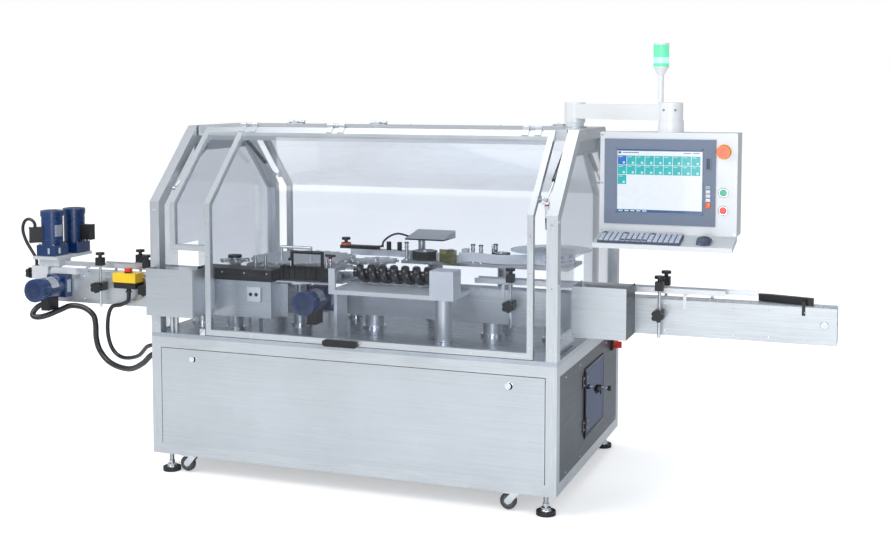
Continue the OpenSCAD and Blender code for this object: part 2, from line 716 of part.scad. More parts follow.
// Upright gearmotor standing on z = 0, terminal box towards the given turn
module gearmotor(turn, bottom) {
    translate([-gear_w / 2, -gear_w / 2, 0]) cube([gear_w, gear_w, gear_len]);
    translate([0, 0, gear_len]) cylinder(h = motor_len - fan_len + over, r = motor_r, $fn = 64);
    translate([0, 0, gear_len + motor_len - fan_len]) cylinder(h = fan_len, r = fan_r, $fn = 64);
    for (x = [-1, 1]) for (y = [-1, 1])
        translate([x * (gear_w / 2 - nut_r * 1.5), y * (gear_w / 2 - nut_r * 1.5), gear_len])
            cylinder(h = nut_r, r = nut_r, $fn = 6);
    rotate(turn) translate([motor_r - gap * 2, -box_size[1] / 2, bottom]) cube(box_size);
}
motor_front_y = feed_y - conveyor_w / 2;
screw_motor = [755, 333, 845];
side_motor = [[-790, 300], [-763, 450]];
bridge_t = 15;
bridge_x = [-852, -700];
bridge_back = 512;
bridge_z = 965;
block_x = [-872, -feed_reach];
block_z = [862, 928];
arm_block_x = [-741, -589];
arm_block_z = [898, 926];
box_low = 70;
module gearmotors() place() color("navy") {
    translate([feed_shaft_x, motor_front_y, chain_z]) rotate([90, 0, 0]) gearmotor(-90, box_low);
    translate(screw_motor) rotate([90, 0, 0]) gearmotor(-90, box_low);
    translate([side_motor[0][0], side_motor[0][1], bridge_z + bridge_t]) gearmotor(225, box_low);
    translate([side_motor[1][0], side_motor[1][1], bridge_z + bridge_t]) gearmotor(0, box_low);
}

// Guide rails along the lanes
lane_half = bottle_d / 2 + clear_gap;
rail_low = lane_z + 22;
rail_high = lane_z + 46;
rail_t = 6;
guide_x = [-690, 145];
module lane_rail(x, y) {
    span(x, y, [rail_low, rail_high]);
}
out_guide_x = [1480, 2640];
pad_x = [2776, 3012];
pad_w = 46;
pad_h = 30;
bracket_w = 14;
bracket_h = 60;
foot_t = 4;
// Foot that carries a rail from a conveyor's side plate
module rail_foot(x, rail_y, plate_y) {
    lo = min(rail_y, plate_y);
    hi = max(rail_y, plate_y);
    span([x, x + bracket_w], [lo, hi], [rail_low - foot_t, rail_low]);
    span([x, x + bracket_w], [plate_y > rail_y ? plate_y : plate_y - foot_t,
        plate_y > rail_y ? plate_y + foot_t : plate_y], [rail_low - bracket_h, rail_low]);
}
foot_pitch = 420;
arc_cut = [194, 240, 280, 320, 359, 388];
arc_posts = [40, 90, 140, 185];
module guide_rails() place() color("gainsboro") {
    lane_rail(guide_x, [feed_y - lane_half - rail_t, feed_y - lane_half]);
    lane_rail([guide_x[0] + foot_pitch / 2, guide_x[1]], [feed_y + lane_half, feed_y + lane_half + rail_t]);
    for (x = [guide_x[0] + foot_pitch / 3 : foot_pitch : guide_x[1] - bracket_w]) {
        rail_foot(x, feed_y - lane_half, feed_y - conveyor_w / 2);
        rail_foot(x + foot_pitch / 4, feed_y + lane_half, feed_y + conveyor_w / 2);
    }
    // Curved rail behind the carousel, on its posts
    translate([carousel_x, carousel_y, rail_low]) difference() {
        cylinder(h = rail_high - rail_low, r = carousel_r + lane_half + rail_t, $fn = 128);
        translate([0, 0, -over]) cylinder(h = rail_high - rail_low + 2 * over, r = carousel_r + lane_half, $fn = 128);
        translate([0, 0, -over]) linear_extrude(height = rail_high - rail_low + 2 * over)
            polygon(concat([[0, 0]], [for (a = arc_cut) 2 * carousel_r * [cos(a), sin(a)]]));
    }
    for (a = arc_posts) bar_z([carousel_x + (carousel_r + lane_half + rail_t) * cos(a),
        carousel_y + (carousel_r + lane_half + rail_t) * sin(a), table_z], rail_high - table_z, rail_t);
    lane_rail(out_guide_x, [out_y - lane_half - rail_t, out_y - lane_half]);
    lane_rail([out_guide_x[0], pad_x[0]], [out_y + lane_half, out_y + lane_half + rail_t]);
    for (x = [out_guide_x[0] + foot_pitch / 3 : foot_pitch : out_guide_x[1] - bracket_w]) {
        rail_foot(x, out_y - lane_half, out_y - conveyor_w / 2);
        rail_foot(x + foot_pitch / 4, out_y + lane_half, out_y + conveyor_w / 2);
    }
    // Tapered pad at the discharge end, on its bracket
    translate([0, 0, lane_z + gap]) linear_extrude(height = pad_h) polygon([
        [pad_x[0], out_y + lane_half], [pad_x[1] - pad_w / 2, out_y - pad_w / 2],
        [pad_x[1], out_y - pad_w / 2], [pad_x[1], out_y],
        [pad_x[0] + pad_w, out_y + conveyor_w / 2], [pad_x[0], out_y + conveyor_w / 2]]);
    rail_foot(pad_x[1] - pad_w, out_y - pad_w / 2, out_y - conveyor_w / 2);
}

// Clamps beside the lanes: upright rod, two black blocks, a round knob and a star knob
clamp_rod_r = 7;
clamp_rod_len = 250;
clamp_block = [36, 34, 40];
round_knob_r = 22;
round_knob_t = 12;
knob_neck_r = 9;
knob_neck = 14;
star_knob_r = 28;
star_knob_t = 20;
star_lobes = 5;
scallop_r = 11;
scallop_out = 5;
clamp_low = 743;
knob_arm_z = 44;
knob_arm_r = 4;
module lobed_disc() difference() {
    cylinder(h = star_knob_t, r = star_knob_r, $fn = 48);
    for (i = [0 : star_lobes - 1]) rotate((i + 1 / 2) * 360 / star_lobes)
        translate([star_knob_r + scallop_out, 0, -over])
            cylinder(h = star_knob_t + 2 * over, r = scallop_r, $fn = 32);
}
module star_knob(p) translate(p) rotate([90, 0, 0]) lobed_disc();
// s is -1 for a clamp in front of its conveyor and 1 for one behind it
module clamp(x, plate_y, s) {
    y = plate_y + s * clamp_block[1];
    bar_z([x, y, clamp_low], clamp_rod_len, clamp_rod_r);
    span([x - clamp_block[0] / 2, x + clamp_block[0] / 2], [y - clamp_block[1] / 2, y + clamp_block[1] / 2],
        [clamp_low + clamp_rod_len - clamp_block[2], clamp_low + clamp_rod_len]);
    span([x - clamp_block[0] / 2, x + clamp_block[0] / 2],
        [min(plate_y, y + s * clamp_block[1] / 2), max(plate_y, y + s * clamp_block[1] / 2)],
        [clamp_low + clamp_rod_len / 3, clamp_low + clamp_rod_len / 3 + clamp_block[2]]);
    rail = plate_y - s * (conveyor_w / 2 - lane_half - rail_t);
    bar_y([x, min(y, rail), lane_z + knob_arm_z], abs(y - rail), knob_arm_r);
    bar_z([x, y, clamp_low + clamp_rod_len], knob_neck, knob_neck_r);
    bar_z([x, y, clamp_low + clamp_rod_len + knob_neck], round_knob_t, round_knob_r);
    bar_y([x, s < 0 ? y - clamp_block[1] / 2 - knob_neck : y + clamp_block[1] / 2,
        clamp_low + clamp_rod_len / 3 + clamp_block[2] / 2], knob_neck, knob_neck_r);
    star_knob([x, s < 0 ? y - clamp_block[1] / 2 - knob_neck : y + clamp_block[1] / 2 + knob_neck + star_knob_t,
        clamp_low + clamp_rod_len / 3 + clamp_block[2] / 2]);
}
clamps_feed_x = [-438, -162];
clamps_out_x = [1672, 2360];
end_knob_z = 888;
end_rod_r = 6;
module rail_clamps() place() color("black") {
    for (x = clamps_feed_x) clamp(x, feed_y - conveyor_w / 2, -1);
    for (x = clamps_out_x) clamp(x, out_y - conveyor_w / 2, -1);
    clamp(clamps_feed_x[0] + clamp_rod_len / 2, feed_y + conveyor_w / 2, 1);
    clamp(clamps_out_x[1], out_y + conveyor_w / 2, 1);
    // Star knob at the far left, on the motor bridge's block
    translate([knob_end_x, feed_y - conveyor_w / 2, end_knob_z]) rotate([90, 0, 90]) lobed_disc();
    bar_x([knob_end_x + star_knob_t, feed_y - conveyor_w / 2, end_knob_z],
        block_x[0] - knob_end_x - star_knob_t, end_rod_r);
}

// Emergency stop station on the feed conveyor
stop_x = -268;
stop_size = [132, 80, 48];
stop_base_h = 28;
stop_z = 878;
stop_y = feed_y - conveyor_w / 2 - stop_size[1];
stop_arm_t = 10;
button_stem_r = 9;
button_bore_r = button_stem_r + fit;
button_head_r = 20;
button_head_h = 16;
button_travel = 5;
button_depth = 16;
stop_gland_r = 11;
stop_gland_len = 16;
module stop_box() place() color("gold") difference() {
    union() {
        span([stop_x - stop_size[0] / 2, stop_x + stop_size[0] / 2], [stop_y, stop_y + stop_size[1] - stop_arm_t],
            [stop_z, stop_z + stop_size[2]]);
        span([stop_x - stop_size[0] / 2 + gap, stop_x + stop_size[0] / 2 - gap],
            [stop_y + gap, stop_y + stop_size[1]], [stop_z - stop_base_h, stop_z]);
        bar_z([stop_x, stop_y + stop_size[1] / 2, stop_z - stop_base_h - stop_gland_len],
            stop_gland_len, stop_gland_r);
    }
    bar_z([stop_x, stop_y + stop_size[1] / 2, stop_z + stop_size[2] - button_depth - button_travel],
        button_depth + button_travel + over, button_bore_r);
}
module stop_button() place() color("red") {
    base = stop_z + stop_size[2];
    bar_z([stop_x, stop_y + stop_size[1] / 2, base - button_depth + seat], button_depth + button_travel + clear_gap,
        button_stem_r);
    bar_z([stop_x, stop_y + stop_size[1] / 2, base + button_travel + clear_gap], button_head_h, button_head_r);
}

// Sheet metal shields round the lane's way in and way out
shield_t = 2;
left_shield_x = [12, 262];
left_shield_z = [774, 998];
right_shield_w = 245;
right_shield_y = 235;
right_shield_z = [750, 977];
shield_post_r = 10;
shield_post = [[85, 42], [108, 42]];
module shield_boxes() place() color("lightgray") {
    // Left: front sheet, right sheet and a short left return, on two upright rods
    span(left_shield_x, [-shield_front, -shield_front + shield_t], left_shield_z);
    span([left_shield_x[1] - shield_t, left_shield_x[1]],
        [-shield_front, housing_y - 2 * gap - shield_t], left_shield_z);
    span([left_shield_x[0], left_shield_x[0] + shield_t], [-shield_front, -clear_gap], left_shield_z);
    span([left_shield_x[0], left_shield_x[1]], [-shield_front, -clear_gap],
        [left_shield_z[0], left_shield_z[0] + shield_t]);
    span([tube + gap, left_shield_x[1]], [-clear_gap, shield_post[0][1] + 2 * shield_post_r],
        [left_shield_z[0], left_shield_z[0] + shield_t]);
    for (p = shield_post) bar_z([p[0] + gap, p[1], table_z], left_shield_z[0] - table_z, shield_post_r);
    // Right: front, left and right sheets against the discharge conveyor
    right_x = [cabinet_w + clear_gap, cabinet_w + right_shield_w];
    span(right_x, [right_shield_y, right_shield_y + shield_t], right_shield_z);
    for (x = [right_x[0], right_x[1] - shield_t])
        span([x, x + shield_t], [right_shield_y, out_y - conveyor_w / 2], right_shield_z);
    span(right_x, [right_shield_y, out_y - conveyor_w / 2], [right_shield_z[0], right_shield_z[0] + shield_t]);
}

// Black guide blocks in front of the lane, with the lifting bow on the ribbed one
housing_x = [251, 560];
housing_y = 155;
housing_z = [754, 929];
socket = [68, 14, 66];
socket_at = [440, 835];
housing_wall = 3;
block_top = 985;
block_xs = [165, 565];
rib_x = [568, 783];
rib_top = 1000;
rib_z = 942;
rib_count = 8;
rib_t = 8;
rib_depth = 38;
end_block_x = [783, 824];
guide_plate_x = [566, 838];
guide_plate_y = 212;
guide_plate_z = [924, 932];
bow_r = 8;
bow_w = 160;
bow_h = 74;
bow_x = 700;
lane_front = feed_y - lane_half - clear_gap;
module bow(cx, cy, z, w, h) {
    for (x = [cx - w / 2, cx + w / 2]) bar_z([x, cy, z], h - bow_r, bow_r);
    bar_x([cx - w / 2, cy, z + h - bow_r], w, bow_r);
    for (x = [cx - w / 2, cx + w / 2]) translate([x, cy, z + h - bow_r]) sphere(r = bow_r, $fn = 32);
}
module guide_blocks() place() color("black") {
    span([block_xs[0], housing_x[0]], [housing_y - gap, lane_front - rib_t], [housing_z[1] + table_t, block_top]);
    span([housing_x[0], block_xs[1]], [housing_y - gap, lane_front - rib_t], [housing_z[1], block_top]);
    span(rib_x, [lane_front - rib_depth + rib_t, lane_front - rib_t], [guide_plate_z[1], rib_z]);
    span(rib_x, [lane_front - rib_depth + rib_t, lane_front], [rib_z, rib_top]);
    for (i = [0 : rib_count - 1]) {
        x = rib_x[0] + i * (rib_x[1] - rib_x[0] - 2 * rib_t) / (rib_count - 1);
        span([x, x + 2 * rib_t], [lane_front - rib_depth, lane_front - rib_t], [rib_z, rib_top]);
    }
    span(end_block_x, [lane_front - rib_depth - rib_t, lane_front], [guide_plate_z[1], rib_top - gap]);
    bow(bow_x, lane_front - 2 * rib_t, rib_top - over, bow_w, bow_h);
}

// Carousel: shaft, two pocketed discs on a hub, and a lifting bow
low_disc_z = 930;
high_disc_z = 985;
disc_t = 12;
tip_play = 2;
pocket_r = bottle_d / 2 + 1.5;
hub_r = 70;
shaft_low = frame_top - 40;
bow_at = [25, -135];
// Disc with open pockets on its pitch circle, turned so that one faces the given angle
module pocket_disc(centre, z, r, pockets, facing, sides) {
    translate([centre[0], centre[1], z]) difference() {
        cylinder(h = disc_t, r = r - tip_play, $fn = sides);
        for (i = [0 : pockets - 1]) rotate(facing + i * 360 / pockets)
            translate([r, 0, -over]) cylinder(h = disc_t + 2 * over, r = pocket_r, $fn = 32);
    }
}
feed_facing = atan2(feed_star_y - carousel_y, feed_star_x - carousel_x);
module carousel() place() color("whitesmoke") {
    bar_z([carousel_x, carousel_y, shaft_low], high_disc_z - shaft_low, carousel_shaft_r);
    bar_z([carousel_x, carousel_y, low_disc_z - gap], high_disc_z - low_disc_z + gap, hub_r);
    for (z = [low_disc_z, high_disc_z])
        pocket_disc([carousel_x, carousel_y], z, carousel_r, carousel_pockets, feed_facing, 96);
    bow(carousel_x + bow_at[0], carousel_y + bow_at[1], high_disc_z + disc_t - over, bow_w, bow_h);
}

// Stars that hand bottles over: two pocketed discs on a shaft
star_hub_r = 30;
star_knob_r0 = 34;
star_knob_z = [1005, 1018];
module star(centre, r, pockets, facing) {
    bar_z([centre[0], centre[1], shaft_low], high_disc_z - shaft_low, star_shaft_r);
    bar_z([centre[0], centre[1], low_disc_z], high_disc_z - low_disc_z, star_hub_r);
    for (z = [low_disc_z, high_disc_z]) pocket_disc(centre, z, r, pockets, facing, 64);
    bar_z([centre[0], centre[1], high_disc_z], star_knob_z[0] - high_disc_z, star_shaft_r);
}
module feed_star() place() color("slategray") {
    star([feed_star_x, feed_star_y], feed_star_r, feed_star_pockets, feed_facing + 180);
    bar_z([feed_star_x, feed_star_y, star_knob_z[0]], star_knob_z[1] - star_knob_z[0], star_knob_r0);
}
module transfer_star() place() color("slategray")
    star([out_star_x, out_star_y], out_star_r, out_star_pockets,
        atan2(carousel_y - out_star_y, carousel_x - out_star_x));

// Feed screw: helical flight on a core, with its shaft in the two bearings
screw_y = out_y - bottle_d / 2 - screw_r + 3;
screw_z = 958;
screw_x0 = 880;
screw_shaft_r = 11;
flight_steps = 16;
flight_top = 14;
flight_root = 34;
screw_len = screw_turns * screw_pitch + flight_root;
screw_shaft_x = [774, 1395];
journal_r = 23;
journal_len = 40;
function flight_ring(i) = let (a = i * 360 / flight_steps, x = flight_root / 2 + i / flight_steps * screw_pitch)
    [for (q = [[x - flight_root / 2, screw_root - 1], [x - flight_top / 2, screw_r],
        [x + flight_top / 2, screw_r], [x + flight_root / 2, screw_root - 1]])
        [q[0], q[1] * cos(a), q[1] * sin(a)]];
module flight() {
    n = screw_turns * flight_steps;
    pts = [for (i = [0 : n]) each flight_ring(i)];
    sides = [for (i = [0 : n - 1]) for (k = [0 : 3]) let (a = 4 * i + k, b = 4 * i + (k + 1) % 4)
        each [[a, b, b + 4], [a, b + 4, a + 4]]];
    polyhedron(points = pts, faces = concat(sides, [[0, 3, 2, 1]], [[4 * n, 4 * n + 1, 4 * n + 2, 4 * n + 3]]));
}
module feed_screw() place() color("black") {
    bar_x([screw_shaft_x[0], screw_y, screw_z], screw_shaft_x[1] - screw_shaft_x[0], screw_shaft_r);
    bar_x([screw_x0, screw_y, screw_z], screw_len, screw_root);
    bar_x([screw_x0 - journal_len, screw_y, screw_z], journal_len + over, journal_r);
    translate([screw_x0, screw_y, screw_z]) flight();
}

// Tables, housings and columns that stand on the table plate
screw_table_x = [841, 1460];
screw_table_y = 200;
screw_table_z = 882;
screw_table_t = 20;
leg_x = [866, 882];
leg_depth = 115;
gear_box_x = [1345, 1460];
gear_box_depth = 105;
gear_box_top = 1016;
bearing_x = [774, 800];
bearing_half = 22;
end_bearing_x = [1352, 1395];
wall_t = 8;
out_column_in = [440, 140];
out_column_x = [956, cabinet_w - out_column_in[0], cabinet_w - out_column_in[1]];
column_r = 38;
flange_t = 12;
dead_r = carousel_r + lane_half - tip_play;
dead_t = 8;
shelf_y = [270, 345];
pin_xs = [428, 483];
chrome_r = 8;
chrome_top = 1040;
// Column on the table plate, with a round flange at its foot
module column(x, y, r, top) {
    bar_z([x, y, table_z], top - table_z, r);
    bar_z([x, y, table_z], flange_t, r + flange_t);
}
module tables_and_columns() place() color("lightgray") {
    conveyor_back = out_y - conveyor_w / 2 - gap;
    // Housing of the star drive with its twin socket
    difference() {
        span(housing_x, [housing_y, feed_y - conveyor_w / 2], housing_z);
        span([housing_x[0] + housing_wall, housing_x[1] - housing_wall],
            [housing_y + housing_wall, feed_y - conveyor_w / 2 - housing_wall],
            [housing_z[0] + housing_wall, housing_z[1] - housing_wall]);
    }
    span([socket_at[0], socket_at[0] + socket[0]], [housing_y - socket[1], housing_y],
        [socket_at[1], socket_at[1] + socket[2]]);
    column(335, 212, column_r, housing_z[0]);
    span([450, 492], [housing_y + gap, housing_y + 43], [table_z, housing_z[0]]);
    // Screw table with its left leg, right gear box and column
    span(screw_table_x, [screw_table_y, conveyor_back], [screw_table_z, screw_table_z + screw_table_t]);
    span(leg_x, [screw_table_y, screw_table_y + leg_depth], [table_z, screw_table_z]);
    span(gear_box_x, [screw_table_y, screw_table_y + gear_box_depth],
        [screw_table_z + screw_table_t, gear_box_top]);
    column(1400, screw_table_y + column_r, column_r, screw_table_z);
    span([guide_plate_x[1], screw_table_x[0] + 30], [screw_table_y, screw_table_y + 14],
        [screw_table_z, rib_top + gap]);
    span([guide_plate_x[0], guide_plate_x[1] + over], [guide_plate_y - 12, lane_front - rib_t], guide_plate_z);
    span([leg_x[0] - 166, leg_x[0]], shelf_y, [screw_motor[2] - gear_w / 2 - wall_t, screw_motor[2] - gear_w / 2]);
    // Bearings of the feed screw
    difference() {
        union() {
            span(bearing_x, [screw_y - bearing_half, screw_y + bearing_half], [plate_top, screw_z + bearing_half]);
            span(end_bearing_x, [screw_table_y + gear_box_depth, screw_y + bearing_half],
                [screw_table_z + screw_table_t + wall_t, screw_z + bearing_half]);
            span(end_bearing_x, [screw_table_y + gear_box_depth, conveyor_back],
                [screw_table_z + screw_table_t, screw_table_z + screw_table_t + wall_t]);
        }
        bar_x([bearing_x[0] - over, screw_y, screw_z], gear_box_x[1] - bearing_x[0], screw_shaft_r + fit);
    }
    // Dead plate that bottles slide on round the carousel
    difference() {
        union() {
            bar_z([carousel_x, carousel_y, plate_top - dead_t], dead_t, dead_r);
            span([carousel_x, out_start - gap], [screw_y - bearing_half - gap, conveyor_back + conveyor_w],
                [plate_top - dead_t, plate_top]);
        }
        span([-over, feed_end + gap], [0, feed_y + conveyor_w / 2 + clear_gap], [plate_bottom, plate_top + over]);
        for (s = shafts) bar_z([s[0], s[1], plate_bottom], conveyor_h + over, s[2] + clear_gap);
    }
    for (c = [[580, 418], [760, 690], [330, 700]]) column(c[0], c[1], column_r - gap * 2, plate_top - dead_t);
    column(100, feed_y, column_r, plate_bottom);
    for (x = out_column_x) column(x, out_y, column_r + wall_t, plate_bottom);
    // Bearing housings round the three shafts
    for (s = shafts) difference() {
        union() {
            bar_z([s[0], s[1], table_z], plate_top - 2 * dead_t - table_z, s[2] + dead_t);
            bar_z([s[0], s[1], table_z], flange_t, s[2] + 2 * flange_t);
        }
        bar_z([s[0], s[1], table_z - over], plate_top, s[2] + fit);
    }
    // Chrome pins on the guide blocks and the stop block beside the door
    for (x = pin_xs) bar_z([x, lane_front - 3 * rib_t, block_top], chrome_top - block_top, chrome_r);
    bar_z([802, lane_front - 2 * rib_t, rib_top - gap], chrome_top - rib_top, chrome_r);
    span([262, 290], [gap, fold], [table_z, table_z + 30]);
}

// Label head: raised plate on two columns, web pins, covers and the peel edge
head_in = 110;
head_x = [1045, cabinet_w - head_in];
head_y = [600, 880];
head_z = 985;
head_t = 15;
head_column = [[1150, 800], [1520, 800]];
pin_r = 9;
pin_h = 82;
pin_at = [[1062, 630], [1400, 655], [1446, 640], [1500, 705]];
cover_x = [1037, 1240];
cover_z = [1090, 1128];
peel_x = [1240, 1345];
arm_x0 = 676;
arm_y0 = [682, 728];
arm_beam_z = [1004, 1034];
arm_top_z = 1050;
beam_x = [735, 1060];
arm_pin_x = [936, 994];
indicator = [[24, 12], [9, 14], [22, 12]];
module label_head() place() color("gainsboro") {
    difference() {
        span(head_x, head_y, [head_z, head_z + head_t]);
        for (a = [[reel_x, reel_y, spindle_r], [roller_at[0], roller_at[1], roller_pin_r],
            [nip_at[0], nip_at[1], roller_pin_r]])
            bar_z([a[0], a[1], head_z - over], head_t + 2 * over, a[2] + fit);
    }
    for (p = head_column) column(p[0], p[1], column_r, head_z);
    for (p = pin_at) {
        bar_z([p[0], p[1], head_z + head_t], pin_h, pin_r);
        bar_z([p[0], p[1], head_z + head_t + pin_h], gap, pin_r + gap);
    }
    // Sloping sensor cover on its post
    bar_z([cover_x[0] + column_r, head_y[1] - 2 * column_r, head_z + head_t],
        cover_z[0] - head_z - head_t + gap, 2 * pin_r);
    side_profile(cover_x, [[head_y[0] + 70, cover_z[0] + gap], [head_y[0] + 70, cover_z[0] + 10],
        [head_y[1] - 30, cover_z[1]], [head_y[1] - 30, cover_z[0]]]);
    // Peel edge towards the discharge lane
    translate([0, 0, head_z + head_t]) linear_extrude(height = label_w) polygon([
        [peel_x[0], head_y[0] + head_t], [peel_x[0], head_y[0] + 2 * head_t],
        [peel_x[1] - head_t, head_y[0] + head_t], [peel_x[1], out_y + lane_half + rail_t + gap],
        [peel_x[1] - gap, out_y + lane_half + rail_t + gap]]);
    // Beam to the left with its arm, pins and position indicator
    span(beam_x, arm_y0, arm_beam_z);
    span([head_x[0], beam_x[1]], arm_y0, [head_z + head_t, arm_beam_z[0]]);
    span([arm_x0, 880], arm_y0, [arm_beam_z[1], arm_top_z]);
    for (x = arm_pin_x) bar_z([x, (arm_y0[0] + arm_y0[1]) / 2, arm_beam_z[1]], pin_h / 2, pin_r + gap);
    for (i = [0 : 2]) bar_z([arm_x0 + 24, (arm_y0[0] + arm_y0[1]) / 2,
        arm_top_z + (i > 0 ? indicator[0][1] : 0) + (i > 1 ? indicator[1][1] : 0)], indicator[i][1], indicator[i][0]);
}

// Rubber rollers that draw the label web, each on its own spindle
roller_at = [1140, 680];
roller_r = 62;
roller_h = 40;
roller_pin_r = 8;
nip_at = [1550, 640];
nip_r = 42;
nip_low = 24;
nip_h = 30;
module roller(at, z, r, h) {
    bar_z([at[0], at[1], z], h, r);
    bar_z([at[0], at[1], head_z - flange_t], z - head_z + flange_t + h, roller_pin_r);
}
module web_roller() place() color("black") roller(roller_at, head_z + head_t + clear_gap, roller_r, roller_h);
module nip_roller() place() color("black") roller(nip_at, head_z + head_t + nip_low, nip_r, nip_h);

// Label reel: spindle, roll and clear disc on top
reel_in = 238;
reel_x = cabinet_w - reel_in;
reel_y = 770;
spindle_r = 15;
roll_z = head_z + head_t + clear_gap;
module label_reel() place() color("lavender") {
    bar_z([reel_x, reel_y, head_z - 2 * flange_t], 2 * flange_t + head_t + label_w + 6 * gap, spindle_r);
    bar_z([reel_x, reel_y, roll_z], label_w, roll_r);
    bar_z([reel_x, reel_y, roll_z + label_w], gap, reel_r);
}

// Swing arm of the control stand, with the lamp's tube
arm_z = [1706, 1776];
arm_w = 62;
elbow_r = 48;
hub_r_top = 50;
arm_foot_r = 42;
lamp_back = 60;
lamp_tube_r = 12;
lamp_z = 1905;
neck_h = 20;
panel_x_mid = arm_x + arm_len * cos(arm_angle);
panel_y_mid = arm_y + arm_len * sin(arm_angle);
module control_arm() place() color("whitesmoke") {
    bar_z([arm_x, arm_y, top_z + arm_base_t + seat], arm_z[0] - top_z - arm_base_t, arm_foot_r);
    bar_z([arm_x, arm_y, arm_z[0] - neck_h], arm_z[1] - arm_z[0] + neck_h + gap, elbow_r);
    translate([arm_x, arm_y, arm_z[0]]) rotate(arm_angle)
        translate([0, -arm_w / 2, 0]) cube([arm_len, arm_w, arm_z[1] - arm_z[0] - gap]);
    bar_z([panel_x_mid, panel_y_mid, arm_z[0]], arm_z[1] - arm_z[0] + 2 * gap, hub_r_top);
    translate([arm_x, arm_y, arm_z[1] - gap - over]) rotate(arm_angle)
        translate([arm_len - lamp_back, 0, 0]) cylinder(h = lamp_z - arm_z[1] + gap + over, r = lamp_tube_r, $fn = 48);
}

// Control panel box with its collar and sloping tray
box_y = [panel_y_mid - panel_d / 2, panel_y_mid + panel_d / 2];
box_x = [panel_x_mid - panel_w / 2, panel_x_mid + panel_w / 2];
panel_low = 1222;
box_z = [panel_low, panel_low + panel_h];
collar_r = 54;
tray_front = 140;
tray_drop = 32;
tray_t = 20;
button_in = 57;
button_x = box_x[1] - button_in;
stop_head_r = 28;
panel_button_r = 15;
button_drop = [78, 250, 325];
panel_stop_z = box_z[1] - button_drop[0];
start_z = box_z[1] - button_drop[1];
halt_z = box_z[1] - button_drop[2];
panel_bore_depth = 30;
module control_panel() place() color("silver") difference() {
    union() {
        span(box_x, box_y, box_z);
        bar_z([panel_x_mid, panel_y_mid, box_z[1]], arm_z[0] - seat - box_z[1], collar_r);
        side_profile(box_x, [[box_y[0] - tray_front, box_z[0] - tray_drop], [box_y[0], box_z[0]],
            [box_y[0] + tray_t, box_z[0]], [box_y[0] + tray_t, box_z[0] - tray_t],
            [box_y[0] - tray_front, box_z[0] - tray_drop - tray_t]]);
    }
    for (z = [panel_stop_z, start_z, halt_z])
        bar_y([button_x, box_y[0] - over, z], panel_bore_depth + over, button_bore_r);
}

// Screen with its bezel
bezel_in = 20;
bezel_w = 476;
bezel_x = [box_x[0] + bezel_in, box_x[0] + bezel_in + bezel_w];
bezel_margin = [40, 28];
bezel_z = [box_z[0] + bezel_margin[0], box_z[1] - bezel_margin[1]];
bezel_t = 6;
glass_side = [56, 56];
glass_edge = [52, 44];
glass_x = [bezel_x[0] + glass_side[0], bezel_x[1] - glass_side[1]];
glass_z = [bezel_z[0] + glass_edge[0], bezel_z[1] - glass_edge[1]];
glass_sink = 2;
module screen() place() color("slategray") difference() {
    span(bezel_x, [box_y[0] - bezel_t, box_y[0]], bezel_z);
    span(glass_x, [box_y[0] - bezel_t - over, box_y[0] - bezel_t + glass_sink], glass_z);
}

// Keyboard and mouse that lie on the tray
tray_tilt = atan2(tray_drop, tray_front);
key_w = 350;
key_d = 112;
key_t = 9;
key_cols = 15;
key_rows = 5;
key_gap = 4;
key_h = 4;
mouse_size = [58, 96, 26];
module keyboard_and_mouse() place() color("slategray") {
    translate([box_x[0] + tray_t, box_y[0] - tray_front, box_z[0] - tray_drop]) rotate([tray_tilt, 0, 0]) {
        translate([0, key_gap * 2, 0]) {
            cube([key_w, key_d, key_t]);
            for (r = [0 : key_rows - 1]) for (c = [0 : key_cols - 1])
                translate([key_gap + c * (key_w - key_gap) / key_cols, key_gap + r * (key_d - key_gap) / key_rows, key_t])
                    cube([(key_w - key_gap) / key_cols - key_gap, (key_d - key_gap) / key_rows - key_gap, key_h]);
        }
        translate([key_w + mouse_size[0] * 1.6, key_gap * 3, 0]) intersection() {
            translate([-mouse_size[0] / 2, 0, 0]) cube(mouse_size);
            translate([0, mouse_size[1] / 2, -mouse_size[1] / 2 + mouse_size[2] - gap])
                sphere(r = mouse_size[1] / 2 + gap, $fn = 48);
        }
    }
}

// Panel buttons
module panel_button(z, head_r, head_t, colour) {
    color(colour) {
        bar_y([button_x, box_y[0] - button_travel - clear_gap, z], button_travel + panel_bore_depth / 2, button_stem_r);
        bar_y([button_x, box_y[0] - button_travel - clear_gap - head_t, z], head_t, head_r);
    }
}
stop_head_t = 18;
button_head_t = 6;
module panel_stop() place() panel_button(panel_stop_z, stop_head_r, stop_head_t, "orangered");
module start_button() place() panel_button(start_z, panel_button_r, button_head_t, "seagreen");
module halt_button() place() panel_button(halt_z, panel_button_r, button_head_t, "red");

// Signal light on the arm's tube
lamp_r = 32;
lamp_base_h = 32;
lamp_lens_h = 98;
lamp_cap_h = 6;
module signal_light() place() color("mediumseagreen")
    translate([arm_x, arm_y, 0]) rotate(arm_angle) translate([arm_len - lamp_back, 0, lamp_z]) {
        cylinder(h = lamp_base_h, r1 = lamp_tube_r + gap, r2 = lamp_r, $fn = 64);
        translate([0, 0, lamp_base_h]) cylinder(h = lamp_lens_h, r = lamp_r, $fn = 64);
        translate([0, 0, lamp_base_h + lamp_lens_h]) cylinder(h = lamp_cap_h, r = lamp_r - gap, $fn = 64);
    }

